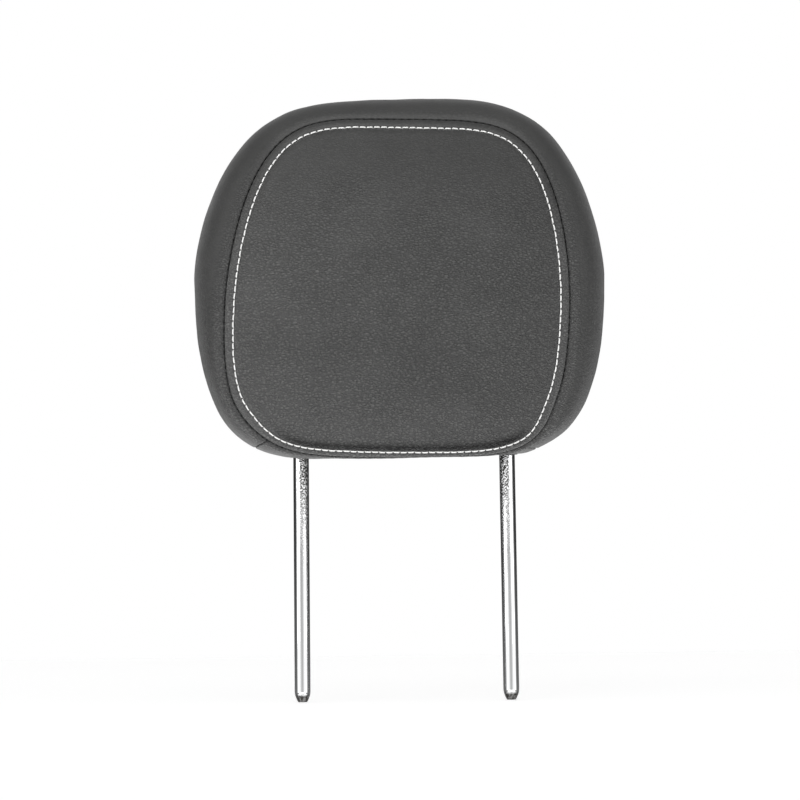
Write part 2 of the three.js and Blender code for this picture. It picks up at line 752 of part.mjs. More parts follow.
// Pan head screw along y, head at the back, with a cross slot.
function screwGeometry() {
  const seat = 0;
  const crest = SCREW_HEAD_HEIGHT;
  const profile = [
    [0, -SCREW_LENGTH],
    [SCREW_DIAMETER / 2, -SCREW_LENGTH + SCREW_DIAMETER],
    [SCREW_DIAMETER / 2, seat],
    [SCREW_HEAD_DIAMETER / 2, seat],
    [SCREW_HEAD_DIAMETER / 2, crest * 0.6],
    [SCREW_HEAD_DIAMETER * 0.36, crest],
    [0, crest],
  ].map(([x, y]) => new THREE.Vector2(x, y));
  let screw = solid(new THREE.LatheGeometry(profile, 10));
  const [half, long] = [SCREW_SLOT / 2, SCREW_HEAD_DIAMETER * 0.3];
  screw = screw.subtract(box(-half, half, crest / 2, crest + 1, -long, long));
  screw = screw.subtract(box(-long, long, crest / 2, crest + 1, -half, half));
  return geometryOf(screw);
}

// Foam: fills the cover, with room for the core, the rod, the closure and the grommets.
function foamGeometry() {
  const builder = new Builder();
  const gusset = gussetRows(allColumns, 0);
  const rows = [...frontRows(allColumns, 0).slice(0, -1), hemmed(gusset[0])];
  rows.push(...gusset.slice(1), ...backRows(allColumns, 0).slice(1));
  const rings = rows.map((cells) => builder.row(inside(cells, CLEARANCE)));
  for (let j = 0; j + 1 < rings.length; j++) builder.strip(rings[j], rings[j + 1], true);
  const depth = COVER_THICKNESS + CLEARANCE;
  builder.fan(builder.vertex(hub(-FRONT_CROWN + depth)), rings[0]);
  builder.fan(builder.vertex(hub(BACK_CROWN - depth)), rings.at(-1).slice().reverse());
  let foam = solid(builder.geometry());
  foam = foam.subtract(coreSlab(CLEARANCE, -CORE_FRONT_DEPTH - CLEARANCE, CORE_REAR_DEPTH + CLEARANCE));
  foam = foam.subtract(rodRoom(CLEARANCE));
  const roof = STRIP_FLOOR + STRIP_HOOK_HEIGHT + STRIP_THICKNESS + 2 * CLEARANCE;
  const [back, front] = [POST_Y + STRIP_PLATE + 2 * CLEARANCE, POST_Y - STRIP_PLATE - 2 * CLEARANCE];
  const length = STRIP_HALF_LENGTH + CLEARANCE;
  foam = foam.subtract(box(-length, length, front, back, -1, roof));
  for (const side of [-1, 1]) {
    const collar = GROMMET_COLLAR_DIAMETER / 2 + CLEARANCE;
    const flange = GROMMET_FLANGE_DIAMETER / 2 + CLEARANCE;
    foam = foam.subtract(upright(collar, -1, COLLAR_TOP + CLEARANCE, side * POST_X, POST_Y));
    foam = foam.subtract(upright(flange, -1, FLANGE_TOP + CLEARANCE, side * POST_X, POST_Y));
  }
  return geometryOf(foam);
}

// Stations along a closed or open run of points.
function stationsOf(points, closed) {
  const count = points.length;
  return points.map((point, i) => {
    const before = points[closed ? (i + count - 1) % count : Math.max(i - 1, 0)];
    const after = points[closed ? (i + 1) % count : Math.min(i + 1, count - 1)];
    return { point, tangent: after.clone().sub(before).normalize() };
  });
}

// Top stitch: one thread that rises over each stitch and dips to the needle holes between them.
function topStitchGeometry() {
  const lift = (diameter) => diameter / 2 + CLEARANCE;
  const onPanel = (u, diameter) => {
    const r = frontShare(u, STITCH_MARGIN);
    return frontPoint(u, r).addScaledVector(normalOf(frontPoint, u, r), lift(diameter));
  };
  const length = frontOutline.getLength() - 2 * Math.PI * STITCH_MARGIN;
  const stitches = Math.round(length / STITCH_LENGTH);
  const points = Array.from({ length: 2 * stitches }, (_, i) =>
    onPanel(i / (2 * stitches), i % 2 ? TOP_THREAD_DIAMETER : TOP_THREAD_WAIST),
  );
  const radiusAt = (i) => (i % 2 ? TOP_THREAD_DIAMETER : TOP_THREAD_WAIST) / 2;
  return sweep(stationsOf(points, true), radiusAt, 4, true);
}

// Seam thread: it runs between the edges of the two panels, under the surface.
const SEAM_THREAD_DEPTH = THREAD_DIAMETER / 2 + CLEARANCE;

function seamThreadGeometry(end) {
  const points = allColumns.map((u) =>
    gussetPoint(u, end).addScaledVector(mitre(u, end), -SEAM_THREAD_DEPTH),
  );
  return sweep(stationsOf(points, true), () => THREAD_DIAMETER / 2, 4, true);
}

// Thread of a short seam between the gusset and the underside, from the front seam to the back one.
function bottomThreadGeometry(side) {
  const u = side * BOTTOM_SHARE;
  const clear = SEAM_EDGE + CLEARANCE;
  const inner = GUSSET_STEPS.slice(1, -1);
  const steps = [gussetShare(u, clear, 0), ...inner, gussetShare(u, clear, 2)];
  const points = steps.map((s) =>
    gussetPoint(u, s).addScaledVector(normalOf(gussetPoint, u, s), -SEAM_THREAD_DEPTH),
  );
  return sweep(stationsOf(points, false), () => THREAD_DIAMETER / 2, 4);
}

// Materials
const chrome = new THREE.MeshStandardMaterial({ color: 0xd6d8da, roughness: 0.08, metalness: 1 });
const leather = new THREE.MeshStandardMaterial({ color: 0x3f4040, roughness: 0.55, metalness: 0 });
const lining = new THREE.MeshStandardMaterial({ color: 0x303131, roughness: 0.7, metalness: 0 });
const foamGrey = new THREE.MeshStandardMaterial({ color: 0xcfc9b8, roughness: 0.95, metalness: 0 });
const moulding = new THREE.MeshStandardMaterial({ color: 0x1d1e1f, roughness: 0.5, metalness: 0 });
const zinc = new THREE.MeshStandardMaterial({ color: 0xa9adb0, roughness: 0.35, metalness: 1 });
const whiteThread = new THREE.MeshStandardMaterial({ color: 0xeceae4, roughness: 0.6, metalness: 0 });
const blackThread = new THREE.MeshStandardMaterial({ color: 0x141414, roughness: 0.6, metalness: 0 });

function add(parent, name, geometry, material) {
  geometry.computeVertexNormals();
  const mesh = new THREE.Mesh(geometry, material);
  mesh.name = name;
  parent.add(mesh);
  return mesh;
}

const headrest = new THREE.Group();
const lean = new THREE.Group();
lean.position.z = POST_EXPOSED + KINK_RISE;
lean.rotation.x = LEAN;
const cushion = new THREE.Group();
cushion.position.z = -KINK_RISE;
lean.add(cushion);
headrest.add(lean);

add(headrest, "post_rod", rodGeometry(), chrome);

add(cushion, "core_front_half", coreFrontGeometry(), moulding);
add(cushion, "core_rear_half", coreRearGeometry(), moulding);
screwPlaces.forEach(({ x, z }, i) => {
  const screw = add(cushion, `core_screw_${i + 1}`, screwGeometry(), zinc);
  screw.position.set(x, CORE_REAR_DEPTH - SCREW_HEAD_HEIGHT, z);
});

add(cushion, "foam_pad", foamGeometry(), foamGrey);
add(cushion, "cover_front_panel", frontPanelGeometry(), leather);
add(cushion, "cover_gusset", gussetGeometry(), leather);
add(cushion, "cover_back_panel", backPanelGeometry(), leather);
add(cushion, "cover_bottom_front_flap", flapGeometry(-1), leather);
add(cushion, "cover_bottom_rear_flap", flapGeometry(1), leather);

add(cushion, "closure_strip_front", frontStripGeometry(), lining);
add(cushion, "closure_strip_rear", rearStripGeometry(), lining);
add(cushion, "post_grommet_left", grommetGeometry(-1), moulding);
add(cushion, "post_grommet_right", grommetGeometry(1), moulding);

add(cushion, "top_stitch_thread", topStitchGeometry(), whiteThread);
add(cushion, "front_seam_thread", seamThreadGeometry(0), blackThread);
add(cushion, "back_seam_thread", seamThreadGeometry(2), blackThread);
add(cushion, "bottom_seam_thread_left", bottomThreadGeometry(-1), blackThread);
add(cushion, "bottom_seam_thread_right", bottomThreadGeometry(1), blackThread);

export default headrest;
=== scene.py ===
"""A car headrest on its two chromed posts, on a pale floor under soft studio light."""

import json
import math

import bmesh
import bpy
import numpy as np
from mathutils import Matrix, Vector, noise
from mathutils.kdtree import KDTree


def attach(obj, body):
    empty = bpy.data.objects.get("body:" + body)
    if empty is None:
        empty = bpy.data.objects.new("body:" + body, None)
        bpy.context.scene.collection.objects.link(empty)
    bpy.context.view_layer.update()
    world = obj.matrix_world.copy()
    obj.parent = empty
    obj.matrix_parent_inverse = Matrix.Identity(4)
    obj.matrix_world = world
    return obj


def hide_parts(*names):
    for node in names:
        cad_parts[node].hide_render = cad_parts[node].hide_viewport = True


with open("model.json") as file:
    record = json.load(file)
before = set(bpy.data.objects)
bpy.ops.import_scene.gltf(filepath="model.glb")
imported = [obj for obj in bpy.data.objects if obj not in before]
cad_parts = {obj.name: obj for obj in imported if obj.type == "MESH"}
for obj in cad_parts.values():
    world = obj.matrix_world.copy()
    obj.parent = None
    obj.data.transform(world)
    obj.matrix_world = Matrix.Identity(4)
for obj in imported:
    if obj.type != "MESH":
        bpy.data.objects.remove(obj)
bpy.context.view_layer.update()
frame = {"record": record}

MM = 0.001

# Frame of the cushion, in millimetres: x across, y backwards from the rod, z up from the underside.
LEAN = math.radians(6.0)
POST_EXPOSED = 154.5
KINK_RISE = 16.0
POST_X = 66.0
POST_RADIUS = 5.0
POST_Y = -KINK_RISE * math.tan(LEAN)

HUB_HEIGHT = 100.0
WIDEST_DEPTH = 4.0
FRONT_CROWN, FRONT_FULLNESS = -54.0, 3.25
BACK_CROWN, BACK_FULLNESS = 52.0, 2.6
BOTTOM_LEFT, BOTTOM_RIGHT = 83.0, 76.3
COVER_THICKNESS = 1.6
# Depth of each seam, and how far its sides, top and bottom bow away from there
FRONT_SEAM_DEPTH, FRONT_BOWS = -45.0, (5.4, 11.6, 8.3)
BACK_SEAM_DEPTH, BACK_BOWS = 41.0, (7.0, 11.0, 6.0)
GUSSET_FULLNESS = 1.6

# Seams and stitches
SEAM_WIDTH, SEAM_DEPTH = 1.0, 1.5
STITCH_MARGIN, LOWEST_MARGIN, STITCH_PITCH = 6.0, 4.0, 4.45
TOP_THREAD_RADIUS = 0.5
SEAM_THREAD_RADIUS = 0.35

# The cushion sits a little to the left on its posts and its top edge rises to the right. The front panel
# is sewn in askew: its sides lean to the right and its top edge falls.
SHIFT, TOP_RISE, BOTTOM_RISE = -1.6, 0.013, 0.006
PANEL_SHIFT, SKEW_ACROSS, SKEW_ALONG = -2.5, 0.051, 0.026


# Shape of the cushion
class Outline:
    """Closed outline at one depth, read by the share of its length from the middle of the underside."""

    def __init__(self, half_width, bottom, waist, top, top_corner, bottom_corner):
        turn = np.linspace(-math.pi / 2, 1.5 * math.pi, 40001)
        cos, sin = np.cos(turn), np.sin(turn)
        above = sin > 0
        across = np.where(above, top_corner[0], bottom_corner[0])
        along = np.where(above, top_corner[1], bottom_corner[1])
        self.half_width, self.bottom, self.waist, self.top = half_width, bottom, waist, top
        self.x = half_width * np.sign(cos) * np.abs(cos) ** (2 / across)
        self.z = waist + np.where(above, top - waist, bottom - waist) * np.abs(sin) ** (2 / along)
        steps = np.hypot(np.diff(self.x), np.diff(self.z))
        self.length = steps.sum()
        self.share = np.concatenate([[0.0], np.cumsum(steps)]) / self.length

    def at(self, u):
        u = np.mod(u, 1.0)
        return np.interp(u, self.share, self.x), np.interp(u, self.share, self.z)

    def bow(self, x, z, side, top, bottom):
        above = z > self.waist
        reach = np.where(above, self.top - self.waist, self.waist - self.bottom)
        height = (z - self.waist) / reach
        return side * (x / self.half_width) ** 2 + np.where(above, top, bottom) * height**2


WIDEST = Outline(131.9, 0.0, 114.4, 229.9, (3.88, 1.56), (5.64, 2.25))
FRONT = Outline(107.4, 0.4, 94.5, 212.0, (4.78, 1.68), (4.63, 2.87))
BACK = Outline(101.0, 5.0, 96.0, 206.0, (3.8, 1.8), (4.4, 2.3))


def stack(x, y, z):
    return np.stack(np.broadcast_arrays(x, y, z), -1).astype(float)


def unit(v):
    return v / np.maximum(np.linalg.norm(v, axis=-1, keepdims=True), 1e-9)


def smooth(value, low, high):
    t = np.clip((value - low) / (high - low), 0, 1)
    return t * t * (3 - 2 * t)


def bulge(value, at, width):
    return np.exp(-(((value - at) / width) ** 2))


def narrowing(x, z):
    """What the margin between top stitch and seam loses under the right half of the cushion."""
    return 1.1 * bulge(x, 25.0, 38.0) * smooth(z, 30.0, 4.0)


def front_seam(u):
    x, z = FRONT.at(u)
    y = FRONT_SEAM_DEPTH + FRONT.bow(x, z, *FRONT_BOWS)
    lean = SKEW_ACROSS * (z - 105.0) * smooth(z, 0.0, 40.0)
    fall = SKEW_ALONG * x * (0.35 + 0.65 * smooth(z, 0.0, 30.0))
    sag = (0.75 * smooth(x, -40.0, 5.0) - 0.35 * smooth(x, -20.0, -60.0)) * smooth(z, 30.0, 4.0)
    return stack(x + PANEL_SHIFT + lean, y, z + 0.25 - fall - sag + narrowing(x, z))


def back_seam(u):
    x, z = BACK.at(u)
    return stack(x + SHIFT, BACK_SEAM_DEPTH - BACK.bow(x, z, *BACK_BOWS), z)


def widest(u):
    x, z = WIDEST.at(u)
    rise = TOP_RISE * smooth(z, 120.0, 220.0) + BOTTOM_RISE * smooth(z, 100.0, 0.0)
    slack = 1.0 * bulge(x, 24.0, 34.0) - 1.6 * bulge(x, 79.0, 9.0)
    return stack(x + SHIFT, WIDEST_DEPTH, z + rise * x + slack * smooth(z, 40.0, 5.0))


def panel(seam, crown, fullness, r):
    r = np.asarray(r, float)
    depth = crown + (seam[..., 1] - crown) * np.abs(r) ** fullness
    return stack(seam[..., 0] * r, depth, HUB_HEIGHT + (seam[..., 2] - HUB_HEIGHT) * r)


def front(u, r):
    return panel(front_seam(u), FRONT_CROWN, FRONT_FULLNESS, r)


def back(u, r):
    return panel(back_seam(u), BACK_CROWN, BACK_FULLNESS, 2 - np.asarray(r, float))


def gusset(u, s):
    s = np.asarray(s, float)
    ahead = s < 1
    seam = np.where(ahead[..., None], front_seam(u), back_seam(u))
    rim = widest(u)
    turn = np.where(ahead, s, 2 - s) * math.pi / 2
    point = seam + (rim - seam) * np.sin(turn)[..., None]
    point[..., 1] = seam[..., 1] + (rim[..., 1] - seam[..., 1]) * (1 - np.cos(turn))
    width = np.hypot(rim[..., 0] - seam[..., 0], rim[..., 2] - seam[..., 2])
    share = np.minimum(1, width / (WIDEST.half_width - FRONT.half_width))
    point[..., 1] += np.sign(seam[..., 1]) * GUSSET_FULLNESS * share * np.sin(2 * turn) ** 2
    return point


def normals(surface, u, s):
    step = 1e-3
    along_s = surface(u, s + step) - surface(u, s - step)
    along_u = surface(u + step, s) - surface(u - step, s)
    return unit(np.cross(along_s, along_u))


def seam_reach(seam):
    """In-plane distance from the hub to a seam, measured square to the seam."""

    def reach(u):
        step = 1e-3
        point = seam(u)
        tangent = unit((seam(u + step) - seam(u - step))[..., [0, 2]])
        outward = np.stack([tangent[..., 1], -tangent[..., 0]], -1)
        spoke = point[..., [0, 2]] - np.array([0.0, HUB_HEIGHT])
        return np.abs((spoke * outward).sum(-1))

    return reach


front_reach = seam_reach(front_seam)
back_reach = seam_reach(back_seam)


def inside(u, distance, seam, reach, crown, fullness):
    """Share of the way from hub to seam at a distance from the seam, measured over the panel."""
    across = reach(u)
    drop = np.abs(seam(u)[..., 1] - crown)
    share = 1 - distance / across
    for _ in range(3):
        slope = drop * fullness * np.clip(share, 0, 1) ** (fullness - 1) / across
        share = 1 - distance / np.sqrt(1 + slope**2) / across
    return share


def front_share(u, distance):
    return inside(u, distance, front_seam, front_reach, FRONT_CROWN, FRONT_FULLNESS)


def back_share(u, distance):
    return 2 - inside(u, distance, back_seam, back_reach, BACK_CROWN, BACK_FULLNESS)


def gusset_shares(u, distances, end):
    """Share s at which the gusset is each distance from its front (end 0) or back (end 2) seam."""
    table = np.linspace(0, 0.9, 181) if end == 0 else np.linspace(2, 1.1, 181)
    points = np.stack([gusset(u, np.full(len(u), s)) for s in table])
    steps = np.linalg.norm(np.diff(points, axis=0), axis=-1)
    run = np.concatenate([np.zeros((1, len(u))), np.cumsum(steps, 0)])
    return [np.array([np.interp(d, run[:, i], table) for i in range(len(u))]) for d in distances]


def mitre(u, end):
    near = gusset_shares(u, [SEAM_WIDTH], end)[0]
    on_gusset = normals(gusset, u, near)
    if end == 0:
        on_panel = normals(front, u, front_share(u, SEAM_WIDTH))
    else:
        on_panel = normals(back, u, back_share(u, SEAM_WIDTH))
    return unit(on_gusset + on_panel)


def roll(distance, width=SEAM_WIDTH, depth=SEAM_DEPTH):
    t = np.clip(1 - np.asarray(distance, float) / width, 0, 1)
    return depth * (1 - np.sqrt(1 - t * t))


def wander(points, size, seed):
    """Smooth unevenness from -1 to 1, with dents about size millimetres wide."""
    flat = points.reshape(-1, 3) / size + seed
    values = [noise.noise(Vector(p)) for p in flat.tolist()]
    return np.array(values).reshape(points.shape[:-1])


# Meshes
def to_part(points):
    p = np.asarray(points, float)
    y, z = p[..., 1], p[..., 2] - KINK_RISE
    cos, sin = math.cos(LEAN), math.sin(LEAN)
    return stack(p[..., 0], y * cos - z * sin, y * sin + z * cos + POST_EXPOSED + KINK_RISE) * MM


def new_object(name, vertices, faces):
    mesh = bpy.data.meshes.new(name)
    mesh.from_pydata(np.asarray(vertices, float).tolist(), [], faces)
    mesh.update()
    made = bpy.data.objects.new(name, mesh)
    bpy.context.scene.collection.objects.link(made)
    mesh.shade_smooth()
    return made


def grid_faces(rows, columns, closed, start=0):
    faces = []
    last = columns if closed else columns - 1
    for j in range(rows - 1):
        a, b = start + j * columns, start + (j + 1) * columns
        for i in range(last):
            n = (i + 1) % columns
            faces.append((a + i, b + i, b + n, a + n))
    return faces


def end_faces(count, sides, start=0):
    """Flat faces over the first and the last of count rings."""
    last = start + (count - 1) * sides
    return [tuple(range(start, start + sides)), tuple(range(last, last + sides))[::-1]]


def joining_faces(last, sides):
    """Faces from the last ring, whose points start at index last, back to the first one."""
    return [(last + i, i, (i + 1) % sides, last + (i + 1) % sides) for i in range(sides)]


def full_turn(sides):
    return np.linspace(0, 2 * math.pi, sides, endpoint=False)


def ring_round(turn, side, up):
    """Ring in the plane of side and up, or one ring for each pair of them."""
    return np.cos(turn)[:, None] * side[..., None, :] + np.sin(turn)[:, None] * up[..., None, :]


def mark(obj, key, values):
    """Named value of each vertex, read by the material."""
    obj.data.attributes.new(key, "FLOAT", "POINT").data.foreach_set("value", values)


def sheet_object(name, rows, outward, closed, pole=None, marks=None):
    """Surface through rows of points in the part's frame, facing outward; pole closes the last row.

    Marks are named values for each point of each row, read by the leather.
    """
    columns = len(rows[0])
    vertices = np.concatenate(rows)
    faces = grid_faces(len(rows), columns, closed)
    if pole is not None:
        hub, last = len(vertices), (len(rows) - 1) * columns
        vertices = np.concatenate([vertices, [pole]])
        faces += [(last + i, hub, last + (i + 1) % columns) for i in range(columns)]
    a, b, c, _ = (Vector(vertices[i]) for i in faces[columns * (len(rows) // 2)])
    if (b - a).cross(c - b).dot(Vector(outward)) < 0:
        faces = [face[::-1] for face in faces]
    made = new_object(name, vertices, faces)
    for key, values in (marks or {}).items():
        full = np.zeros(len(vertices))
        full[: len(rows) * columns] = np.concatenate(values)
        mark(made, key, full)
    return made


def thicken(obj, thickness):
    shell = obj.modifiers.new("thickness", "SOLIDIFY")
    shell.thickness = thickness * MM
    shell.offset = -1.0
    shell.use_rim = True


def solid_object(name, vertices, faces):
    """Closed form with its faces turned outward."""
    made = new_object(name, vertices, faces)
    edit = bmesh.new()
    edit.from_mesh(made.data)
    bmesh.ops.recalc_face_normals(edit, faces=edit.faces)
    edit.to_mesh(made.data)
    edit.free()
    return made


def tube(name, points, radius, closed=False):
    """Round thread along points in the part's frame, in metres, with flat ends if it is open."""
    sides, upright = 6, 0.1
    if closed:
        tangents = unit(np.roll(points, -1, 0) - np.roll(points, 1, 0))
    else:
        tangents = unit(np.gradient(points, axis=0))
    side = np.cross(tangents, [0.0, 1.0, 0.0])
    weak = np.linalg.norm(side, axis=1) < upright
    side[weak] = np.cross(tangents[weak], [1.0, 0.0, 0.0])
    side = unit(side)
    ring = ring_round(full_turn(sides), side, np.cross(side, tangents))
    vertices = (points[:, None] + ring * radius).reshape(-1, 3)
    faces = grid_faces(len(points), sides, True)
    if closed:
        faces += joining_faces((len(points) - 1) * sides, sides)
    else:
        faces += end_faces(len(points), sides)
    return solid_object(name, vertices, faces)


# Columns round the cushion, four to each stitch
STITCHES_AT = np.linspace(0, 1, 4001)


def margin(u):
    """Distance from the seam to the top stitch, narrower along the bottom."""
    seam = front_seam(u)
    low = smooth(seam[..., 2], 25.0, 5.0)
    return STITCH_MARGIN + (LOWEST_MARGIN - STITCH_MARGIN) * low - narrowing(seam[..., 0], seam[..., 2])


def from_seam(u, distance):
    """Share at a distance counted as if the margin were the same all round."""
    own = margin(u)
    within = distance * own / STITCH_MARGIN
    return front_share(u, np.where(distance < STITCH_MARGIN, within, distance - STITCH_MARGIN + own))


def stitch_share(u):
    return from_seam(u, STITCH_MARGIN)


stitch_line = front(STITCHES_AT, stitch_share(STITCHES_AT))
stitch_run = np.concatenate([[0], np.cumsum(np.linalg.norm(np.diff(stitch_line, axis=0), axis=1))])
STITCH_COUNT = round(stitch_run[-1] / STITCH_PITCH)


def stitch_u(phase):
    """Place round the seam of a stitch, counted in stitches from the middle of the underside."""
    return np.interp(np.mod(phase, STITCH_COUNT) / STITCH_COUNT * stitch_run[-1], stitch_run, STITCHES_AT)


def stitch_phase(u):
    return np.interp(np.mod(u, 1), STITCHES_AT, stitch_run) / stitch_run[-1] * STITCH_COUNT


FRONT_COLUMNS = stitch_u(np.arange(4 * STITCH_COUNT) / 4)
BACK_COLUMNS = np.linspace(0, 1, 320, endpoint=False)
LEFT_SHARE, RIGHT_SHARE = -BOTTOM_LEFT / FRONT.length, BOTTOM_RIGHT / FRONT.length

# Swell of the padding under the cover, found by a cloth simulation of the pad
SWELL_SHARE = 0.35
SWELL_NEIGHBOURS, NEAREST = 6, 0.002
PAD_COLUMNS = 96
PAD_INSET, PAD_ROOM = 6.0, 3.6
PAD_VOXEL = 6.5
HELD_WHOLLY, HELD_NOT = 9.0, 22.0
CLOTH_FRAMES = 20


def swell(points):
    """Outward swell at points of the cover, in millimetres."""
    if swell_tree is None:
        return np.zeros(points.shape[:-1])
    flat = to_part(points).reshape(-1, 3)
    out = np.empty(len(flat))
    for i, p in enumerate(flat.tolist()):
        near = swell_tree.find_n(p, SWELL_NEIGHBOURS)
        weights = np.array([1 / (d + NEAREST) for _, _, d in near])
        out[i] = (weights * swell_values[[k for _, k, _ in near]]).sum() / weights.sum()
    return out.reshape(points.shape[:-1])


def pad_rows(columns):
    """Rows of points over the whole cushion, inside the cover."""
    surfaces = [
        (front, (0.2, 0.4, 0.6, 0.78, 0.9, 0.97)),
        (gusset, (0.1, 0.25, 0.45, 0.7, 1.0, 1.3, 1.6, 1.8, 1.93)),
        (back, (1.05, 1.15, 1.35, 1.6, 1.8)),
    ]
    rows = []
    for surface, shares in surfaces:
        for s in shares:
            share = np.full(len(columns), s)
            rows.append(surface(columns, share) - PAD_INSET * normals(surface, columns, share))
    return rows


def bake(obj):
    """Modifiers become the mesh itself."""
    graph = bpy.context.evaluated_depsgraph_get()
    mesh = bpy.data.meshes.new_from_object(obj.evaluated_get(graph))
    obj.modifiers.clear()
    obj.data = mesh


def read_vertices(obj, what):
    values = np.empty(len(obj.data.vertices) * 3)
    obj.data.vertices.foreach_get(what, values)
    return values.reshape(-1, 3)


def tree_of(points):
    made = KDTree(len(points))
    for i, p in enumerate(points.tolist()):
        made.insert(p, i)
    made.balance()
    return made


def swollen(pad, places):
    """Places of the pad's vertices after a simulation under pressure, held along the seams."""
    held = pad.vertex_groups.new(name="held")
    seams = np.concatenate([front_seam(STITCHES_AT[::8]), back_seam(STITCHES_AT[::8])])
    near_seam = tree_of(to_part(seams))
    for i, p in enumerate(places.tolist()):
        distance = near_seam.find(p)[2]
        held.add([i], float(1 - smooth(distance, HELD_WHOLLY * MM, HELD_NOT * MM)), "REPLACE")
    cloth = pad.modifiers.new("cloth", "CLOTH")
    settings = cloth.settings
    settings.quality = 6
    settings.mass = 0.2
    settings.tension_stiffness = settings.compression_stiffness = 30
    settings.shear_stiffness = 20
    settings.bending_stiffness = 8
    settings.vertex_group_mass = "held"
    settings.use_pressure = True
    settings.uniform_pressure_force = 4.0
    settings.effector_weights.gravity = 0
    cloth.collision_settings.use_collision = False
    cloth.point_cache.frame_start, cloth.point_cache.frame_end = 1, CLOTH_FRAMES
    for number in range(1, CLOTH_FRAMES + 1):
        bpy.context.scene.frame_set(number)
    bake(pad)
    bpy.context.scene.frame_set(1)
    return read_vertices(pad, "co")


def make_pad():
    """Foam pad, a closed form a little smaller than its room, with a tree of its swell and the values."""
    rows = pad_rows(np.linspace(0, 1, PAD_COLUMNS, endpoint=False))
    poles = [[0, FRONT_CROWN + PAD_INSET, HUB_HEIGHT], [0, BACK_CROWN - PAD_INSET, HUB_HEIGHT]]
    vertices = np.concatenate(rows + [poles])
    faces = grid_faces(len(rows), PAD_COLUMNS, True)
    head, tail, last = len(vertices) - 2, len(vertices) - 1, (len(rows) - 1) * PAD_COLUMNS
    faces += [(head, i, (i + 1) % PAD_COLUMNS) for i in range(PAD_COLUMNS)]
    faces += [(last + i, tail, last + (i + 1) % PAD_COLUMNS) for i in range(PAD_COLUMNS)]
    pad = solid_object("foam", to_part(vertices), faces)
    remesh = pad.modifiers.new("remesh", "REMESH")
    remesh.mode = "VOXEL"
    remesh.voxel_size = PAD_VOXEL * MM
    bake(pad)
    before, outward = read_vertices(pad, "co"), read_vertices(pad, "normal")
    moved = ((swollen(pad, before) - before) * outward).sum(1)
    moved = np.clip(moved, 0, (PAD_INSET - PAD_ROOM) * MM)
    pad.data.vertices.foreach_set("co", (before + outward * moved[:, None]).ravel())
    pad.data.update()
    finer = pad.modifiers.new("finer", "SUBSURF")
    finer.levels = finer.render_levels = 1
    bake(pad)
    pad.data.shade_smooth()
    return pad, tree_of(before + outward * PAD_INSET * MM), (moved - np.median(moved)) / MM


pad, swell_tree, swell_values = make_pad()


def lie(points):
    """How far the leather stands off its plain form: the pad's swell and some unevenness."""
    return SWELL_SHARE * swell(points) + 0.5 * wander(points, 42, 3.1) + 0.22 * wander(points, 15, 9.7)


def beside_seam(distance):
    """Puffed edge of a panel that has no top stitch."""
    return 0.55 * bulge(distance, 3.6, 2.4)


# Front panel
BAND_RISE, GROOVE_DEPTH, HOLE_DEPTH, INNER_RISE = 1.15, 1.05, 0.45, 0.5
GROOVE_WIDTH, DIMPLE_WIDTH, HOLE_WIDTH = 1.05, 0.9, 0.7
INNER_RISE_AT, INNER_RISE_WIDTH = 4.2, 3.0


def front_profile(u, distance):
    """Height of the front panel above its plain form, by the distance from the seam."""
    phase = stitch_phase(u)
    hole = np.abs(phase - np.round(phase)) * STITCH_PITCH
    fullness = BAND_RISE + 0.15 * np.sin(2 * math.pi * u * 11) + 0.1 * np.sin(2 * math.pi * u * 29 + 1)
    band = fullness * np.sin(math.pi * np.clip(distance / STITCH_MARGIN, 0, 1)) ** 0.8
    groove = -GROOVE_DEPTH * bulge(distance, STITCH_MARGIN, GROOVE_WIDTH)
    dimple = -HOLE_DEPTH * bulge(distance, STITCH_MARGIN, DIMPLE_WIDTH) * bulge(hole, 0, HOLE_WIDTH)
    inner = INNER_RISE * bulge(distance, STITCH_MARGIN + INNER_RISE_AT, INNER_RISE_WIDTH)
    low = smooth(front_seam(u)[..., 2], 20.0, 4.0)
    return band * (1 - 0.35 * low) + groove + dimple + inner * (1 + 0.8 * low)


def low_right(u):
    """1 along the lower right corner, where the panel's edge beside the seam gets a painted highlight and
    less painted shade.
    """
    seam = front_seam(u)
    return smooth(seam[..., 0], 38.0, 56.0) * smooth(seam[..., 2], 48.0, 28.0)


def seam_painted_shade(u, distance):
    """How much painted shade darkens the leather down in the seam, most where a seam stitch draws it in.
    """
    drawn_in = 0.5 + 0.35 * np.cos(2 * math.pi * stitch_phase(u))
    return drawn_in * smooth(distance, 0.95, 0.4) * (1 - 0.7 * low_right(u))


def front_shade(u, distance):
    """Painted light and shade on the front panel: painted shade in the seam, beside and just above the
    lowest stitches; painted light over the whole panel, most to the left, between seam and stitch on the
    sides, and along the panel's edge at the lower right.
    """
    height = front_seam(u)[..., 2]
    low = smooth(height, 16.0, 4.0)
    # Painted shade: dark lines beside the lowest stitches and a dark band just above them.
    beside = -0.42 * low * bulge(np.abs(distance - STITCH_MARGIN), 0.95, 0.5)
    above = -0.82 * low * smooth(distance, STITCH_MARGIN + 0.8, STITCH_MARGIN + 1.8)
    above = above * smooth(distance, STITCH_MARGIN + 7.0, STITCH_MARGIN + 4.0)
    under = smooth(distance, 0.6, 1.3) * smooth(distance, STITCH_MARGIN - 0.3, STITCH_MARGIN - 1.0)
    # Painted light: the whole panel paler, more to the left; the band between seam and stitch paler on the
    # sides; a pale line along the edge at the lower right.
    painted_front_light = 0.09 - 0.0010 * front_seam(u)[..., 0]
    painted_seam_light = under * 0.28 * smooth(height, 170.0, 120.0)
    painted_edge_highlight = 0.9 * low_right(u) * bulge(distance, 1.35, 0.4)
    return painted_front_light + beside + above + painted_seam_light + painted_edge_highlight - seam_painted_shade(u, distance)


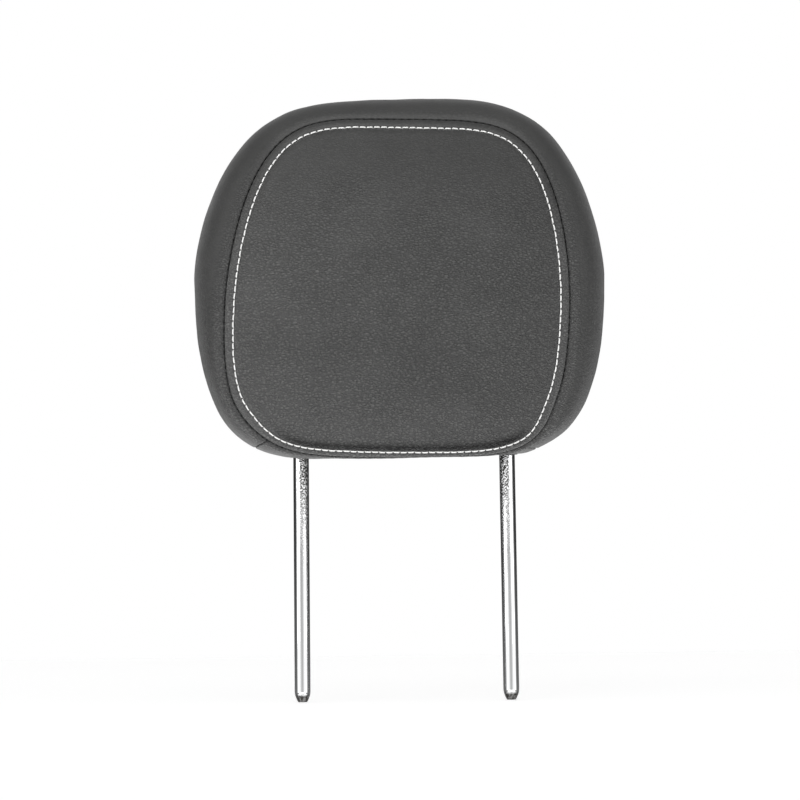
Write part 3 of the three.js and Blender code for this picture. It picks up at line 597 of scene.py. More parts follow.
def make_front():
    u = FRONT_COLUMNS
    reach = front_reach(u)
    middle = mitre(u, 0)
    near = [0, 0.1, 0.28, 0.55, 0.9, 1.35, 1.9, 2.6, 3.4, 4.2, 4.8, 5.25, 5.6]
    near += [6, 6.4, 6.8, 7.3, 8, 8.9, 10, 11.6, 13.5]
    rows, shades = [], []
    for distance in near:
        share = from_seam(u, distance)
        n = normals(front, u, share)
        base = front(u, share)
        lift = lie(base) * smooth(distance, 0, 8) + front_profile(u, distance)
        rows.append(base + n * lift[:, None] - middle * roll(distance))
        shades.append(front_shade(u, distance))
    edge = from_seam(u, near[-1])
    for part in np.linspace(1, 0.02, 30)[1:]:
        shades.append(front_shade(u, near[-1]) * part)
        share = edge * part
        n = normals(front, u, share)
        base = front(u, share)
        lift = front_profile(u, near[-1] + (edge - share) * reach) + lie(base)
        rows.append(base + n * lift[:, None])
    pole = np.array([[0, FRONT_CROWN, HUB_HEIGHT]])
    pole[0, 1] -= lie(pole)[0]
    rows = [to_part(row) for row in rows]
    return sheet_object("leather_front", rows, (0, -1, 0), True, to_part(pole)[0], {"shade": shades})


# Gusset and underside share one surface between the front and the back seam
EDGE_ROWS = [0, 0.1, 0.28, 0.55, 0.9, 1.35, 1.9, 2.7, 3.8, 5.4, 7.5]
# Distance from the seam given to the rows beyond those
FAR = 20.0


def band_rows(u, side_roll, shares_of):
    """Rows of the gusset's surface over columns u, with marks; side_roll sinks them at the short seams."""
    rows, shades, smooths = [], [], []
    seam = front_seam(u)
    low_down = smooth(seam[..., 2], 175.0, 125.0)
    # Painted shade in the seams, and painted light along the top and beside the seam lower down.
    short_seam_painted_shade = np.where(seam[..., 0] < 0, 0.7, 0.3) * smooth(side_roll, 0.15, 0.6)
    painted_top_light = 0.16 * smooth(seam[..., 2], 190.0, 206.0)
    gathers = 0.14 * np.sin(u * WIDEST.length * 2 * math.pi / 8.5 + 2 * np.sin(u * 40))
    for share, sink, direction, distance in shares_of(u):
        painted_seam_light = 0.06 * low_down * smooth(distance, 0.8, 1.6) * smooth(distance, 8.0, 4.0)
        shades.append(painted_seam_light + painted_top_light - np.maximum(seam_painted_shade(u, distance), short_seam_painted_shade))
        smooths.append(np.full(len(u), 0.75 * smooth(distance, 3.5, 9.0)))
        base = gusset(u, share)
        n = normals(gusset, u, np.clip(share, 0.02, 1.98))
        lift = (lie(base) + gathers * np.exp(-distance / 7)) * smooth(distance, 0, 7)
        lift = lift + beside_seam(distance)
        rows.append(base + n * (lift - side_roll)[:, None] - direction * sink)
    return [to_part(row) for row in rows], {"shade": shades, "smoothness": smooths}


def whole_width(u):
    """Rows from the front seam to the back one."""
    ends = [gusset_shares(u, EDGE_ROWS, end) for end in (0, 2)]
    middles = [mitre(u, end) for end in (0, 2)]
    for share, d in zip(ends[0], EDGE_ROWS):
        yield share, roll(d), middles[0], d
    low, high = ends[0][-1], ends[1][-1]
    for part in np.linspace(0, 1, 28)[1:-1]:
        yield low + (high - low) * part, 0.0, middles[0], FAR
    for share, d in zip(ends[1][::-1], EDGE_ROWS[::-1]):
        yield share, roll(d), middles[1], d


def with_edges(low, high, columns):
    """Columns between two short seams, with extra ones close to each."""
    steps = np.array([0, 0.15, 0.4, 0.8, 1.3, 1.9, 2.6]) / WIDEST.length
    inner = columns[(columns > low + steps[-1] * 1.2) & (columns < high - steps[-1] * 1.2)]
    return np.concatenate([low + steps, inner, (high - steps)[::-1]])


def short_roll(u, low, high):
    return roll(np.minimum(u - low, high - u) * WIDEST.length)


def make_gusset():
    low, high = RIGHT_SHARE, 1 + LEFT_SHARE
    u = with_edges(low, high, FRONT_COLUMNS)
    rows, marks = band_rows(u, short_roll(u, low, high), whole_width)
    return sheet_object("leather_gusset", rows, (1, 0, 0), False, None, marks)


def slit_share(u, y):
    table = np.linspace(0.02, 1.9, 500)
    depths = np.stack([gusset(u, np.full(len(u), s))[:, 1] for s in table])
    return np.array([np.interp(y, depths[:, i], table) for i in range(len(u))])


HEM = [0, 0.1, 0.3, 0.6, 1.0, 1.5, 2.1]
HEM_ROLL = 1.8
HALF_SLIT = 0.35


def flap_rows(side):
    """Rows of one half of the underside, from its seam to the hem at the slit."""

    def shares_of(u):
        end = 0 if side < 0 else 2
        ends = gusset_shares(u, EDGE_ROWS, end)
        middle = mitre(u, end)
        for share, d in zip(ends, EDGE_ROWS):
            yield share, roll(d), middle, d
        down = np.tile([0.0, 0.0, -1.0], (len(u), 1))
        hems = [slit_share(u, POST_Y + side * (HALF_SLIT + e)) for e in HEM[::-1]]
        for part in np.linspace(0, 1, 14)[1:-1]:
            yield ends[-1] + (hems[0] - ends[-1]) * part, 0.0, middle, FAR
        for share, e in zip(hems, HEM[::-1]):
            yield share, roll(e, HEM_ROLL, HEM_ROLL), down, FAR

    return shares_of


def make_flap(name, side):
    low, high = LEFT_SHARE, RIGHT_SHARE
    u = with_edges(low, high, np.linspace(low, high, 120))
    rows, marks = band_rows(u, short_roll(u, low, high), flap_rows(side))
    flap = sheet_object(name, rows, (0, 0, -1), False, None, marks)
    open_for_posts(flap)
    return flap


HOLE_RADIUS, ROUNDED_WITHIN, SLIT_CORNER = 7.2, 3.2, 0.9


def open_for_posts(flap):
    """Opens a round hole for each post, which the slit runs through."""
    edit = bmesh.new()
    edit.from_mesh(flap.data)
    places = [Vector(to_part([side * POST_X, POST_Y, 1.0])) for side in (-1, 1)]
    hidden = [v for v in edit.verts if any((v.co - p).length < HOLE_RADIUS * MM for p in places)]
    bmesh.ops.delete(edit, geom=hidden, context="VERTS")
    for v in (v for v in edit.verts if v.is_boundary):
        for p in places:
            spoke = v.co - p
            near = spoke.length < (HOLE_RADIUS + ROUNDED_WITHIN) * MM
            if near and abs(spoke.y) > SLIT_CORNER * MM:
                v.co = p + spoke.normalized() * HOLE_RADIUS * MM
    edit.to_mesh(flap.data)
    edit.free()


def make_back():
    u = BACK_COLUMNS
    middle = mitre(u, 2)
    rows = []
    near = [0, 0.1, 0.28, 0.55, 0.9, 1.35, 1.9, 2.7, 3.8, 5.4, 7.5, 10]
    for distance in near:
        share = back_share(u, distance)
        base = back(u, share)
        n = normals(back, u, share)
        lift = lie(base) * smooth(distance, 0, 7) + beside_seam(distance)
        rows.append(base + n * lift[:, None] - middle * roll(distance))
    edge = back_share(u, near[-1]) - 1
    for part in np.linspace(0, 0.98, 28)[1:]:
        share = 1 + edge + (1 - edge) * part
        base = back(u, share)
        n = normals(back, u, share)
        rows.append(base + n * lie(base)[:, None])
    pole = np.array([[0, BACK_CROWN, HUB_HEIGHT]])
    pole[0, 1] += lie(pole)[0]
    return sheet_object("leather_back", [to_part(row) for row in rows], (0, 1, 0), True, to_part(pole)[0])


# Threads
def make_top_stitch():
    """Separate stitches, each a short plump thread that dips into its needle holes."""
    steps, sides, flattening = 11, 8, 0.86
    t = np.linspace(0, 1, steps)
    ends = np.abs(2 * t - 1)
    radius = TOP_THREAD_RADIUS * (1 - 0.3 * ends**8)
    vertices, faces, along = [], [], []
    turn = full_turn(sides)
    for k in range(STITCH_COUNT):
        lean = 0.16 * math.sin(k * 2.4) + 0.1 * math.sin(k * 5.9)
        lowest = float(smooth(front_seam(stitch_u(k + 0.5))[2], 24.0, 4.0))
        length = 0.90 + 0.02 * math.sin(k * 3.3) + 0.04 * lowest
        u = stitch_u(k + 0.5 + (t - 0.5) * length)
        offset = STITCH_MARGIN + lean * (t - 0.5) + 0.08 * math.sin(k * 1.7)
        share = from_seam(u, offset)
        base, n = front(u, share), normals(front, u, share)
        height = -0.1 - 1.0 * ends**9 + lie(base) * smooth(STITCH_MARGIN, 0, 8)
        line = base + n * height[:, None]
        side = unit(np.cross(unit(np.gradient(line, axis=0)), n))
        ring = ring_round(turn, side, flattening * n)
        start = len(vertices) * steps * sides
        vertices.append((line[:, None] + ring * radius[:, None, None]).reshape(-1, 3))
        faces += grid_faces(steps, sides, True, start) + end_faces(steps, sides, start)
        along.append(np.repeat(t * length * STITCH_PITCH, sides))
    made = solid_object("top_stitches", to_part(np.concatenate(vertices)), faces)
    mark(made, "along", np.concatenate(along))
    mark(made, "around", np.tile(turn, STITCH_COUNT * steps))
    return made


def make_seam_thread(name, seam, end):
    u = FRONT_COLUMNS[::2]
    line = seam(u) - mitre(u, end) * (SEAM_DEPTH - SEAM_THREAD_RADIUS)
    return tube(name, to_part(line), SEAM_THREAD_RADIUS * MM, closed=True)


def make_short_thread(name, side):
    s = np.linspace(0.12, 1.88, 60)
    u = np.full(len(s), LEFT_SHARE if side < 0 else RIGHT_SHARE)
    line = gusset(u, s) - normals(gusset, u, s) * (SEAM_DEPTH - SEAM_THREAD_RADIUS)
    return tube(name, to_part(line), SEAM_THREAD_RADIUS * MM)


# Rod
NOTCHES = [42 + 20 * k for k in range(5)]
NOTCH_HEIGHT, NOTCH_DEPTH, NOTCH_RAMP = 5.0, 1.8, 2.2
TIP_RADIUS, CONE_TOP, SHOULDER = 2.95, 3.6, 7.0
ROD_TOP, CORNER_RADIUS, KINK_RADIUS = 166.0, 30.0, 40.0
KINK_START = POST_EXPOSED + KINK_RISE - KINK_RADIUS * math.tan(LEAN / 2)
ROD_SIDES = 64


def notch_depth(z):
    for start in NOTCHES:
        if start <= z < start + NOTCH_HEIGHT:
            return NOTCH_DEPTH * min(1.0, (z - start) / NOTCH_RAMP)
    return 0.0


def rod_path():
    """Centre line of the rod over the cushion's inside, from the left post's kink to the right one's."""
    points = []
    for turn in np.linspace(0, LEAN, 9):
        y = -KINK_RADIUS + KINK_RADIUS * math.cos(turn)
        points.append(np.array([-POST_X, y, KINK_START + KINK_RADIUS * math.sin(turn)]) * MM)
    for turn in np.linspace(math.pi, math.pi / 2, 17):
        x = -POST_X + CORNER_RADIUS + CORNER_RADIUS * math.cos(turn)
        points.append(to_part([x, 0, ROD_TOP - CORNER_RADIUS + CORNER_RADIUS * math.sin(turn)]))
    return np.array(points + [p * np.array([-1, 1, 1]) for p in points[::-1]])


def post_rings(turn):
    """Heights up one post, each with the radius all round it: a crinkled cone, a shoulder, a plain bar."""
    rings = [(0.0, TIP_RADIUS - 0.35), (0.08, TIP_RADIUS - 0.12), (0.35, TIP_RADIUS + 0.05)]
    for z in np.linspace(0.7, 3.2, 6):
        rings.append((z, TIP_RADIUS + 0.42 * z))
    for z in np.linspace(CONE_TOP, SHOULDER, 11)[:-1]:
        rings.append((z, POST_RADIUS - 0.56 * ((SHOULDER - z) / (SHOULDER - CONE_TOP)) ** 2))
    heights = [SHOULDER] + list(np.arange(12, 162, 4.0))
    for start in NOTCHES:
        heights += [start - 0.01, start + NOTCH_RAMP / 2, start + NOTCH_RAMP, start + NOTCH_HEIGHT - 0.02]
        heights += [start, start + NOTCH_HEIGHT]
    rings += [(z, POST_RADIUS) for z in sorted(set(heights))]
    crinkle = 0.5 * np.sin(turn * 7 + 1) + 0.35 * np.sin(turn * 13 + 2) + 0.25 * np.sin(turn * 22)
    return [(z, r * (1 + 0.022 * crinkle * max(0.0, 1 - abs(z - 1.7) / 1.9))) for z, r in rings]


def make_rod():
    turn = full_turn(ROD_SIDES)
    legs = [(z, r) for z, r in post_rings(turn) if z < KINK_START]
    rings = []
    for z, r in legs:
        y = np.minimum(r * np.sin(turn), POST_RADIUS - notch_depth(z) if notch_depth(z) else math.inf)
        rings.append(stack(-POST_X + r * np.cos(turn), y, z) * MM)
    across, ahead = np.array([1.0, 0, 0]), np.array([0, 1.0, 0])
    path = rod_path()
    for point, tangent in zip(path, unit(np.gradient(path, axis=0))):
        across = unit(across - tangent * (across @ tangent))
        ahead = unit(np.cross(tangent, across))
        rings.append(point + ring_round(turn, across, ahead) * POST_RADIUS * MM)
    # Down the right post the rings go on as they came over the top, so each starts from its own side.
    for z, r in legs[::-1]:
        rings.append(np.array([POST_X, 0, z]) * MM + ring_round(turn, across, ahead) * (r * MM)[:, None])
    faces = grid_faces(len(rings), ROD_SIDES, True) + end_faces(len(rings), ROD_SIDES)
    rod = solid_object("chromed_rod", np.concatenate(rings), faces)
    rod.data.set_sharp_from_angle(angle=math.radians(32))
    return rod


def make_grommet(name, side):
    """Collar with rounded lips in the hole in the leather, on a flange inside the cover."""
    low, flange, top, sides = 1.0, 5.9, 9.9, 72
    profile = [(5.35, top), (5.35, low + 0.7), (5.55, low + 0.15), (5.9, low), (6.3, low)]
    profile += [(6.65, low + 0.15), (6.8, low + 0.6), (6.8, flange), (9.7, flange), (10.0, flange + 0.3)]
    profile += [(10.0, flange + 1.3), (9.7, flange + 1.6), (6.8, flange + 1.6), (6.8, top)]
    cos, sin = np.cos(full_turn(sides)), np.sin(full_turn(sides))
    rings = [stack(side * POST_X + r * cos, POST_Y + r * sin, z) for r, z in profile]
    faces = grid_faces(len(profile), sides, True) + joining_faces((len(profile) - 1) * sides, sides)
    made = solid_object(name, to_part(np.concatenate(rings)), faces)
    made.data.set_sharp_from_angle(angle=math.radians(50))
    return made


# Materials
def material(name, colour, roughness, metallic=0.0):
    made = bpy.data.materials.new(name)
    made.use_nodes = True
    shader = made.node_tree.nodes["Principled BSDF"]
    shader.inputs["Base Color"].default_value = (*colour, 1)
    shader.inputs["Roughness"].default_value = roughness
    shader.inputs["Metallic"].default_value = metallic
    return made, made.node_tree, shader


def wire(tree, value, node, socket):
    tree.links.new(value, node.inputs[socket])


def place(tree, stretch=(1, 1, 1)):
    """Object coordinates in millimetres, stretched along each axis."""
    source = tree.nodes.new("ShaderNodeTexCoord")
    scaled = tree.nodes.new("ShaderNodeMapping")
    scaled.inputs["Scale"].default_value = tuple(k / MM for k in stretch)
    wire(tree, source.outputs["Object"], scaled, "Vector")
    return scaled.outputs["Vector"]


def noise_node(tree, where, size, detail):
    made = tree.nodes.new("ShaderNodeTexNoise")
    made.inputs["Scale"].default_value = 1 / size
    made.inputs["Detail"].default_value = detail
    wire(tree, where, made, "Vector")
    return made


def cloud(tree, where, size, detail=3.0):
    return noise_node(tree, where, size, detail).outputs["Fac"]


def cells(tree, where, size, feature="F1"):
    made = tree.nodes.new("ShaderNodeTexVoronoi")
    made.feature = feature
    made.inputs["Scale"].default_value = 1 / size
    wire(tree, where, made, "Vector")
    return made.outputs["Distance"]


def attribute(tree, name):
    made = tree.nodes.new("ShaderNodeAttribute")
    made.attribute_name = name
    return made.outputs["Fac"]


def parts_of(tree, vector):
    made = tree.nodes.new("ShaderNodeSeparateXYZ")
    wire(tree, vector, made, "Vector")
    return made.outputs


def spread(tree, value, low, high, from_low=0.3, from_high=0.7):
    made = tree.nodes.new("ShaderNodeMapRange")
    made.inputs["From Min"].default_value = from_low
    made.inputs["From Max"].default_value = from_high
    made.inputs["To Min"].default_value = low
    made.inputs["To Max"].default_value = high
    wire(tree, value, made, "Value")
    return made.outputs["Result"]


def combine(tree, kind, a, b=0.0):
    made = tree.nodes.new("ShaderNodeMath")
    made.operation = kind
    for socket, value in zip(made.inputs, (a, b)):
        if isinstance(value, (int, float)):
            socket.default_value = value
        else:
            tree.links.new(value, socket)
    return made.outputs["Value"]


def times(tree, a, b):
    return combine(tree, "MULTIPLY", a, b)


def plus(tree, a, b):
    return combine(tree, "ADD", a, b)


def tint(tree, value, dark, light):
    made = tree.nodes.new("ShaderNodeMix")
    made.data_type = "RGBA"
    made.inputs["A"].default_value = (*dark, 1)
    made.inputs["B"].default_value = (*light, 1)
    wire(tree, value, made, "Factor")
    return made.outputs["Result"]


def bump(tree, height, strength, distance, below=None):
    made = tree.nodes.new("ShaderNodeBump")
    made.inputs["Strength"].default_value = strength
    made.inputs["Distance"].default_value = distance * MM
    wire(tree, height, made, "Height")
    if below is not None:
        wire(tree, below, made, "Normal")
    return made.outputs["Normal"]


LEATHER_DARK, LEATHER_PALE = (0.0310, 0.0310, 0.0308), (0.0605, 0.0607, 0.0590)
GRAIN, FINE_GRAIN, GRAIN_WARP = 1.35, 0.7, 1.1
GRAIN_HIGH, GRAIN_LOW = 335, 215


def leather_material():
    made, tree, shader = material("leather", (0.045, 0.045, 0.045), 0.5)
    where = place(tree)
    # Warped coordinates keep the grain's cells from looking regular.
    shift = tree.nodes.new("ShaderNodeVectorMath")
    shift.operation = "MULTIPLY_ADD"
    shift.inputs[1].default_value = (GRAIN_WARP, GRAIN_WARP, GRAIN_WARP)
    wire(tree, noise_node(tree, where, 2.2, 2.0).outputs["Color"], shift, 0)
    wire(tree, place(tree, (0.55, 0.8, 1.0)), shift, 2)
    warped = shift.outputs["Vector"]
    pebbles = spread(tree, cells(tree, warped, GRAIN), 1.0, 0.0, 0.0, 0.8)
    creases = spread(tree, cells(tree, warped, GRAIN, "DISTANCE_TO_EDGE"), 0.0, 1.0, 0.0, 0.14)
    fine = spread(tree, cells(tree, warped, FINE_GRAIN), 1.0, 0.0, 0.0, 0.8)
    coarse = times(tree, times(tree, pebbles, creases), 0.65)
    height = plus(tree, coarse, times(tree, fine, 0.35))
    # The grain is pressed deeper in some places than in others, and deepest over the lower half.
    lower = spread(tree, parts_of(tree, where)["Z"], 0.22, 1.6, GRAIN_HIGH, GRAIN_LOW)
    patchy = spread(tree, cloud(tree, where, 30, 2), 0.75, 1.25)
    rough_part = combine(tree, "SUBTRACT", 1.0, attribute(tree, "smoothness"))
    pressed = times(tree, lower, rough_part)
    depth = times(tree, pressed, patchy)
    relief = times(tree, combine(tree, "SUBTRACT", height, 0.4), depth)
    broad_tone = spread(tree, cloud(tree, where, 26, 4), 0.42, 0.58)
    # Partly the leather's own tone, partly painted shade in the grain's creases and painted light on its
    # domes.
    tone_and_grain_shade = plus(tree, broad_tone, times(tree, relief, 3.4))
    # Painted light: the leather is made paler where its grain is pressed deep, most over the lower half,
    # which stands in for more light there; with the painted light and shade of the shade mark it scales
    # the colour and the specular level.
    painted_light_low_down = spread(tree, pressed, 1.03, 1.48, 0.35, 1.35)
    painted_light_and_shade = times(tree, plus(tree, attribute(tree, "shade"), 1.0), painted_light_low_down)
    shaded = tree.nodes.new("ShaderNodeVectorMath")
    shaded.operation = "SCALE"
    wire(tree, tint(tree, tone_and_grain_shade, LEATHER_DARK, LEATHER_PALE), shaded, "Vector")
    wire(tree, painted_light_and_shade, shaded, "Scale")
    wire(tree, shaded.outputs["Vector"], shader, "Base Color")
    plain = spread(tree, cloud(tree, where, 9, 3), 0.50, 0.62)
    wire(tree, combine(tree, "SUBTRACT", plain, times(tree, relief, 0.12)), shader, "Roughness")
    broad = bump(tree, cloud(tree, where, 6, 2), 0.3, 0.6)
    wire(tree, bump(tree, relief, 1.0, 1.15, broad), shader, "Normal")
    wire(tree, times(tree, painted_light_and_shade, 0.42), shader, "Specular IOR Level")
    shader.inputs["Sheen Weight"].default_value = 0.17
    shader.inputs["Sheen Roughness"].default_value = 0.4
    return made


def twisted_thread(name, dark, light):
    """Thread of wound plies, one turn of them every ply_length millimetres."""
    ply_length = 1.5
    made, tree, shader = material(name, light, 0.62)
    wind = times(tree, attribute(tree, "along"), 2 * math.pi / ply_length)
    wind = plus(tree, wind, times(tree, attribute(tree, "around"), 2.0))
    ply = combine(tree, "SINE", wind)
    # Painted shade: the thread is darker in the grooves between its plies.
    wire(tree, tint(tree, spread(tree, ply, 0, 1, -1, 0.2), dark, light), shader, "Base Color")
    wire(tree, bump(tree, ply, 0.5, 0.12), shader, "Normal")
    shader.inputs["Sheen Weight"].default_value = 0.2
    return made


def plain_thread(name, dark, light):
    made, tree, shader = material(name, light, 0.62)
    where = place(tree)
    wire(tree, tint(tree, cloud(tree, where, 1.2), dark, light), shader, "Base Color")
    wire(tree, bump(tree, cloud(tree, where, 0.3), 0.6, 0.1), shader, "Normal")
    return made


CHROME, DARK_METAL_AND_REFLECTION = (0.88, 0.885, 0.89), (0.045, 0.043, 0.040)


def chrome_material():
    made, tree, shader = material("chrome", CHROME, 0.05, 1.0)
    where = place(tree)
    across, _, height = parts_of(tree, where)
    hand = combine(tree, "SIGN", across)
    offset = combine(tree, "SUBTRACT", across, times(tree, hand, POST_X))
    inward = times(tree, offset, times(tree, hand, -1.0))
    # Pitted plating close to the cushion, most on the sides that face each other: small bumps, and a dark
    # colour that is a painted reflection of the dark cushion.
    top_zone = spread(tree, height, 0.0, 1.0, 70, 142)
    inner_side = spread(tree, inward, 0.12, 1.0, -2.0, -0.2)
    pitted = times(tree, combine(tree, "POWER", top_zone, 1.4), inner_side)
    speckle = cloud(tree, where, 0.85, 4)
    painted_reflection_pits = times(tree, spread(tree, speckle, 1.0, 0.0, 0.48, 0.53), pitted)
    # The tips are left rough and dark from forming.
    tip = spread(tree, height, 1.0, 0.0, 3.6, 5.2)
    mottle = cloud(tree, place(tree, (1, 1, 0.3)), 1.3, 3)
    dark_tip = times(tree, tip, spread(tree, mottle, 0.82, 1.0, 0.36, 0.55))
    dark = combine(tree, "MAXIMUM", painted_reflection_pits, dark_tip)
    wire(tree, tint(tree, dark, CHROME, DARK_METAL_AND_REFLECTION), shader, "Base Color")
    # Long shallow ripples along the bar, and small ones where it is pitted.
    ripple = cloud(tree, place(tree, (1, 1, 0.10)), 3.0, 2)
    first = bump(tree, ripple, 0.10, 0.5)
    second = bump(tree, times(tree, speckle, pitted), 0.7, 0.7, first)
    rough = times(tree, cloud(tree, where, 0.7, 3), tip)
    wire(tree, bump(tree, rough, 0.6, 1.0, second), shader, "Normal")
    marks = spread(tree, cloud(tree, place(tree, (1, 1, 0.05)), 0.6, 3), 0.03, 0.08)
    dull = plus(tree, times(tree, top_zone, 0.05), times(tree, tip, 0.22))
    wire(tree, plus(tree, dull, marks), shader, "Roughness")
    return made


def moulded_material(name, dark, light, roughness):
    made, tree, shader = material(name, light, roughness)
    where = place(tree)
    uneven = spread(tree, cloud(tree, where, 3), roughness - 0.08, roughness + 0.08)
    wire(tree, uneven, shader, "Roughness")
    wire(tree, tint(tree, cloud(tree, where, 8), dark, light), shader, "Base Color")
    wire(tree, bump(tree, cloud(tree, where, 0.35), 0.35, 0.06), shader, "Normal")
    return made


def metal_material(name, colour, roughness):
    made, tree, shader = material(name, colour, roughness, 1.0)
    where = place(tree)
    uneven = spread(tree, cloud(tree, where, 1.0), roughness - 0.08, roughness + 0.12)
    wire(tree, uneven, shader, "Roughness")
    dark = [k * 0.8 for k in colour]
    wire(tree, tint(tree, cloud(tree, where, 2), dark, colour), shader, "Base Color")
    wire(tree, bump(tree, cloud(tree, where, 0.5), 0.2, 0.05), shader, "Normal")
    return made


FOAM, FOAM_PORE_SHADE = (0.62, 0.57, 0.46), (0.4, 0.36, 0.28)


def foam_material():
    made, tree, shader = material("foam", FOAM, 0.95)
    pores = cells(tree, place(tree), 0.9)
    # Painted shade: the foam is darker down in its pores.
    open_to = spread(tree, pores, 0, 1, 0.1, 0.5)
    wire(tree, tint(tree, open_to, FOAM_PORE_SHADE, FOAM), shader, "Base Color")
    wire(tree, bump(tree, pores, 0.8, 0.5), shader, "Normal")
    return made


leather = leather_material()
chrome = chrome_material()
foam = foam_material()
white_thread = twisted_thread("white_thread", (0.86, 0.855, 0.84), (0.96, 0.96, 0.95))
dark_thread = plain_thread("dark_thread", (0.010, 0.010, 0.010), (0.022, 0.022, 0.022))
black_plastic = moulded_material("black_plastic", (0.018, 0.018, 0.019), (0.034, 0.034, 0.036), 0.45)
strip_plastic = moulded_material("strip_plastic", (0.03, 0.03, 0.03), (0.055, 0.055, 0.055), 0.5)
zinc = metal_material("zinc", (0.58, 0.60, 0.61), 0.35)


def dress(obj, finish, slot, *nodes):
    obj.data.materials.clear()
    obj.data.materials.append(finish)
    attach(obj, "root")
    if nodes:
        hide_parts(*nodes)
    return obj


dress(pad, foam, "foam", "foam_pad")
covers = [
    (make_front(), "cover_front_panel"),
    (make_gusset(), "cover_gusset"),
    (make_back(), "cover_back_panel"),
    (make_flap("leather_flap_front", -1), "cover_bottom_front_flap"),
    (make_flap("leather_flap_rear", 1), "cover_bottom_rear_flap"),
]
for cover, node in covers:
    thicken(dress(cover, leather, "leather", node), COVER_THICKNESS)

dress(make_top_stitch(), white_thread, "top_thread", "top_stitch_thread")
dress(make_seam_thread("front_thread", front_seam, 0), dark_thread, "seam_thread", "front_seam_thread")
dress(make_seam_thread("back_thread", back_seam, 2), dark_thread, "seam_thread", "back_seam_thread")
for side, word in ((-1, "left"), (1, "right")):
    short_thread = make_short_thread(f"short_thread_{word}", side)
    dress(short_thread, dark_thread, "seam_thread", f"bottom_seam_thread_{word}")
    dress(make_grommet(f"grommet_{word}", side), black_plastic, "moulding", f"post_grommet_{word}")
dress(make_rod(), chrome, "chrome", "post_rod")

finishes = {"moulding": black_plastic, "strip": strip_plastic, "zinc": zinc}
for entry in frame["record"]["subparts"]:
    node = bpy.data.objects.get(entry["node"])
    finish = finishes.get(entry["material_slot"])
    if node is not None and not node.hide_render and finish is not None:
        for own_slot in node.material_slots:
            own_slot.material = finish
        if not node.material_slots:
            node.data.materials.append(finish)


# Stage
def make_floor():
    """White floor. It glows a little, so that it meets the white beyond."""
    half, drop, glow = 6.0, 0.0004, 0.65
    corners = [(-half, -half, 0), (half, -half, 0), (half, half, 0), (-half, half, 0)]
    floor = new_object("floor", corners, [(0, 1, 2, 3)])
    floor.location.z = -drop
    made, _, shader = material("floor", (0.93, 0.93, 0.93), 0.8)
    shader.inputs["Specular IOR Level"].default_value = 0.1
    shader.inputs["Emission Color"].default_value = (1, 1, 1, 1)
    shader.inputs["Emission Strength"].default_value = glow
    floor.data.materials.append(made)
    floor.visible_glossy = False


def mix(tree, factor, a, b):
    made = tree.nodes.new("ShaderNodeMix")
    wire(tree, factor, made, "Factor")
    wire(tree, a, made, "A")
    if isinstance(b, float):
        made.inputs["B"].default_value = b
    else:
        wire(tree, b, made, "B")
    return made.outputs["Result"]


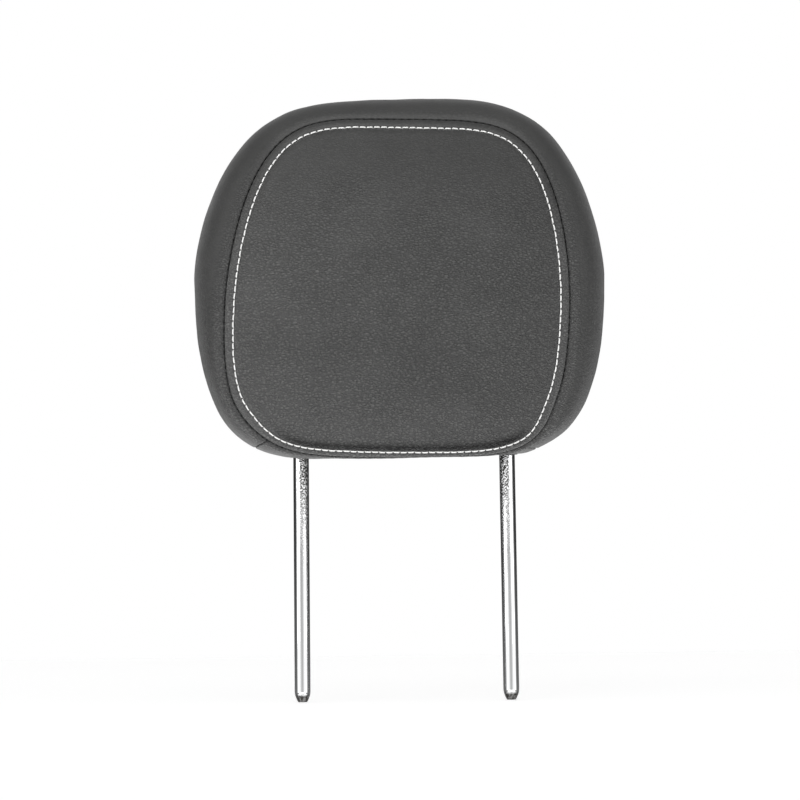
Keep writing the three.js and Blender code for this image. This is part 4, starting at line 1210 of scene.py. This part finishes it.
def make_world():
    """Soft light, strongest from ahead and below eye level. Polished metal shows a dark far side."""
    world = bpy.data.worlds.new("studio")
    world.use_nodes = True
    bpy.context.scene.world = world
    tree = world.node_tree
    sky = tree.nodes["Background"]
    sky.inputs["Color"].default_value = (1, 1, 1, 1)
    ray = tree.nodes.new("ShaderNodeLightPath")
    direction = tree.nodes.new("ShaderNodeTexCoord").outputs["Generated"]
    x, y, z = parts_of(tree, direction)
    wide = combine(tree, "ABSOLUTE", x)
    # What a sheen shows at eye level: white ahead with a soft grey strip, and dark further round
    strip = spread(tree, wide, 0.44, 1.15, 0.12, 0.72)
    level = times(tree, strip, spread(tree, y, 1.0, 0.03, -0.48, -0.06))
    level = combine(tree, "MAXIMUM", level, spread(tree, z, 0.14, 0.03, -0.03, 0.06))
    # What it shows above and below: bright ahead, dimmer further round, dark at the sides, bright behind
    before, behind = spread(tree, y, 1.45, 0.6, -0.95, -0.3), spread(tree, y, 0.0, 0.4, 0.1, 0.8)
    sides = spread(tree, wide, 1.0, 0.12, 0.66, 0.80)
    wide_open = times(tree, plus(tree, before, behind), sides)
    off_level = spread(tree, combine(tree, "ABSOLUTE", z), 0.0, 1.0, 0.14, 0.26)
    rising = spread(tree, z, 1.9, 0.35, -0.6, 0.6)
    mirrored = times(tree, mix(tree, off_level, level, wide_open), rising)
    # What lights matt surfaces
    ahead = spread(tree, y, 1.65, 0.52, -1.0, 0.2)
    low = spread(tree, z, 1.3, 0.3, -0.1, 0.7)
    beside = spread(tree, wide, 1.0, 0.6, 0.35, 0.95)
    soft = times(tree, times(tree, ahead, low), beside)
    # A broad window to the left of the camera
    facing = tree.nodes.new("ShaderNodeVectorMath")
    facing.operation = "DOT_PRODUCT"
    wire(tree, direction, facing, 0)
    facing.inputs[1].default_value = Vector((-0.25, -0.95, -0.12)).normalized()
    soft = plus(tree, soft, spread(tree, facing.outputs["Value"], 0.0, 1.9, 0.75, 1.0))
    lit = mix(tree, ray.outputs["Is Glossy Ray"], soft, mirrored)
    wire(tree, mix(tree, ray.outputs["Is Camera Ray"], lit, 1.0), sky, "Strength")


def lamp(name, at, towards, size, power):
    data = bpy.data.lights.new(name, "AREA")
    data.shape = "RECTANGLE"
    data.size, data.size_y = size
    data.energy = power
    made = bpy.data.objects.new(name, data)
    made.location = at
    made.rotation_mode = "QUATERNION"
    made.rotation_quaternion = (Vector(towards) - Vector(at)).to_track_quat("-Z", "Y")
    made.visible_camera = False
    bpy.context.scene.collection.objects.link(made)


make_floor()
make_world()
CUSHION_MIDDLE = (0, 0, 0.25)
LAMP_SIZE = (1.2, 0.6)
lamp("key", (-1.75, -1.5, 0.34), CUSHION_MIDDLE, LAMP_SIZE, 6)
lamp("fill", (1.75, -1.5, 0.34), CUSHION_MIDDLE, LAMP_SIZE, 3)


def make_camera():
    distance, height, across = 1.300, 0.0350, -0.0021
    tilt, turn = math.radians(6.869), math.radians(0.714)
    focal_pixels, picture_pixels, sensor = 2035.3, 800, 36.0
    right = Vector((1, 0, 0))
    forward = Vector((0, math.cos(tilt), math.sin(tilt)))
    up = Vector((0, -math.sin(tilt), math.cos(tilt)))
    data = bpy.data.cameras.new("camera")
    data.sensor_width = sensor
    data.lens = focal_pixels / picture_pixels * sensor
    camera = bpy.data.objects.new("camera", data)
    bpy.context.scene.collection.objects.link(camera)
    picture_right = right * math.cos(turn) - up * math.sin(turn)
    picture_up = right * math.sin(turn) + up * math.cos(turn)
    axes = Matrix((picture_right, picture_up, -forward)).transposed().to_4x4()
    camera.matrix_world = Matrix.Translation((across, -distance, height)) @ axes
    bpy.context.scene.camera = camera


make_camera()
bpy.context.scene.view_settings.view_transform = "Standard"
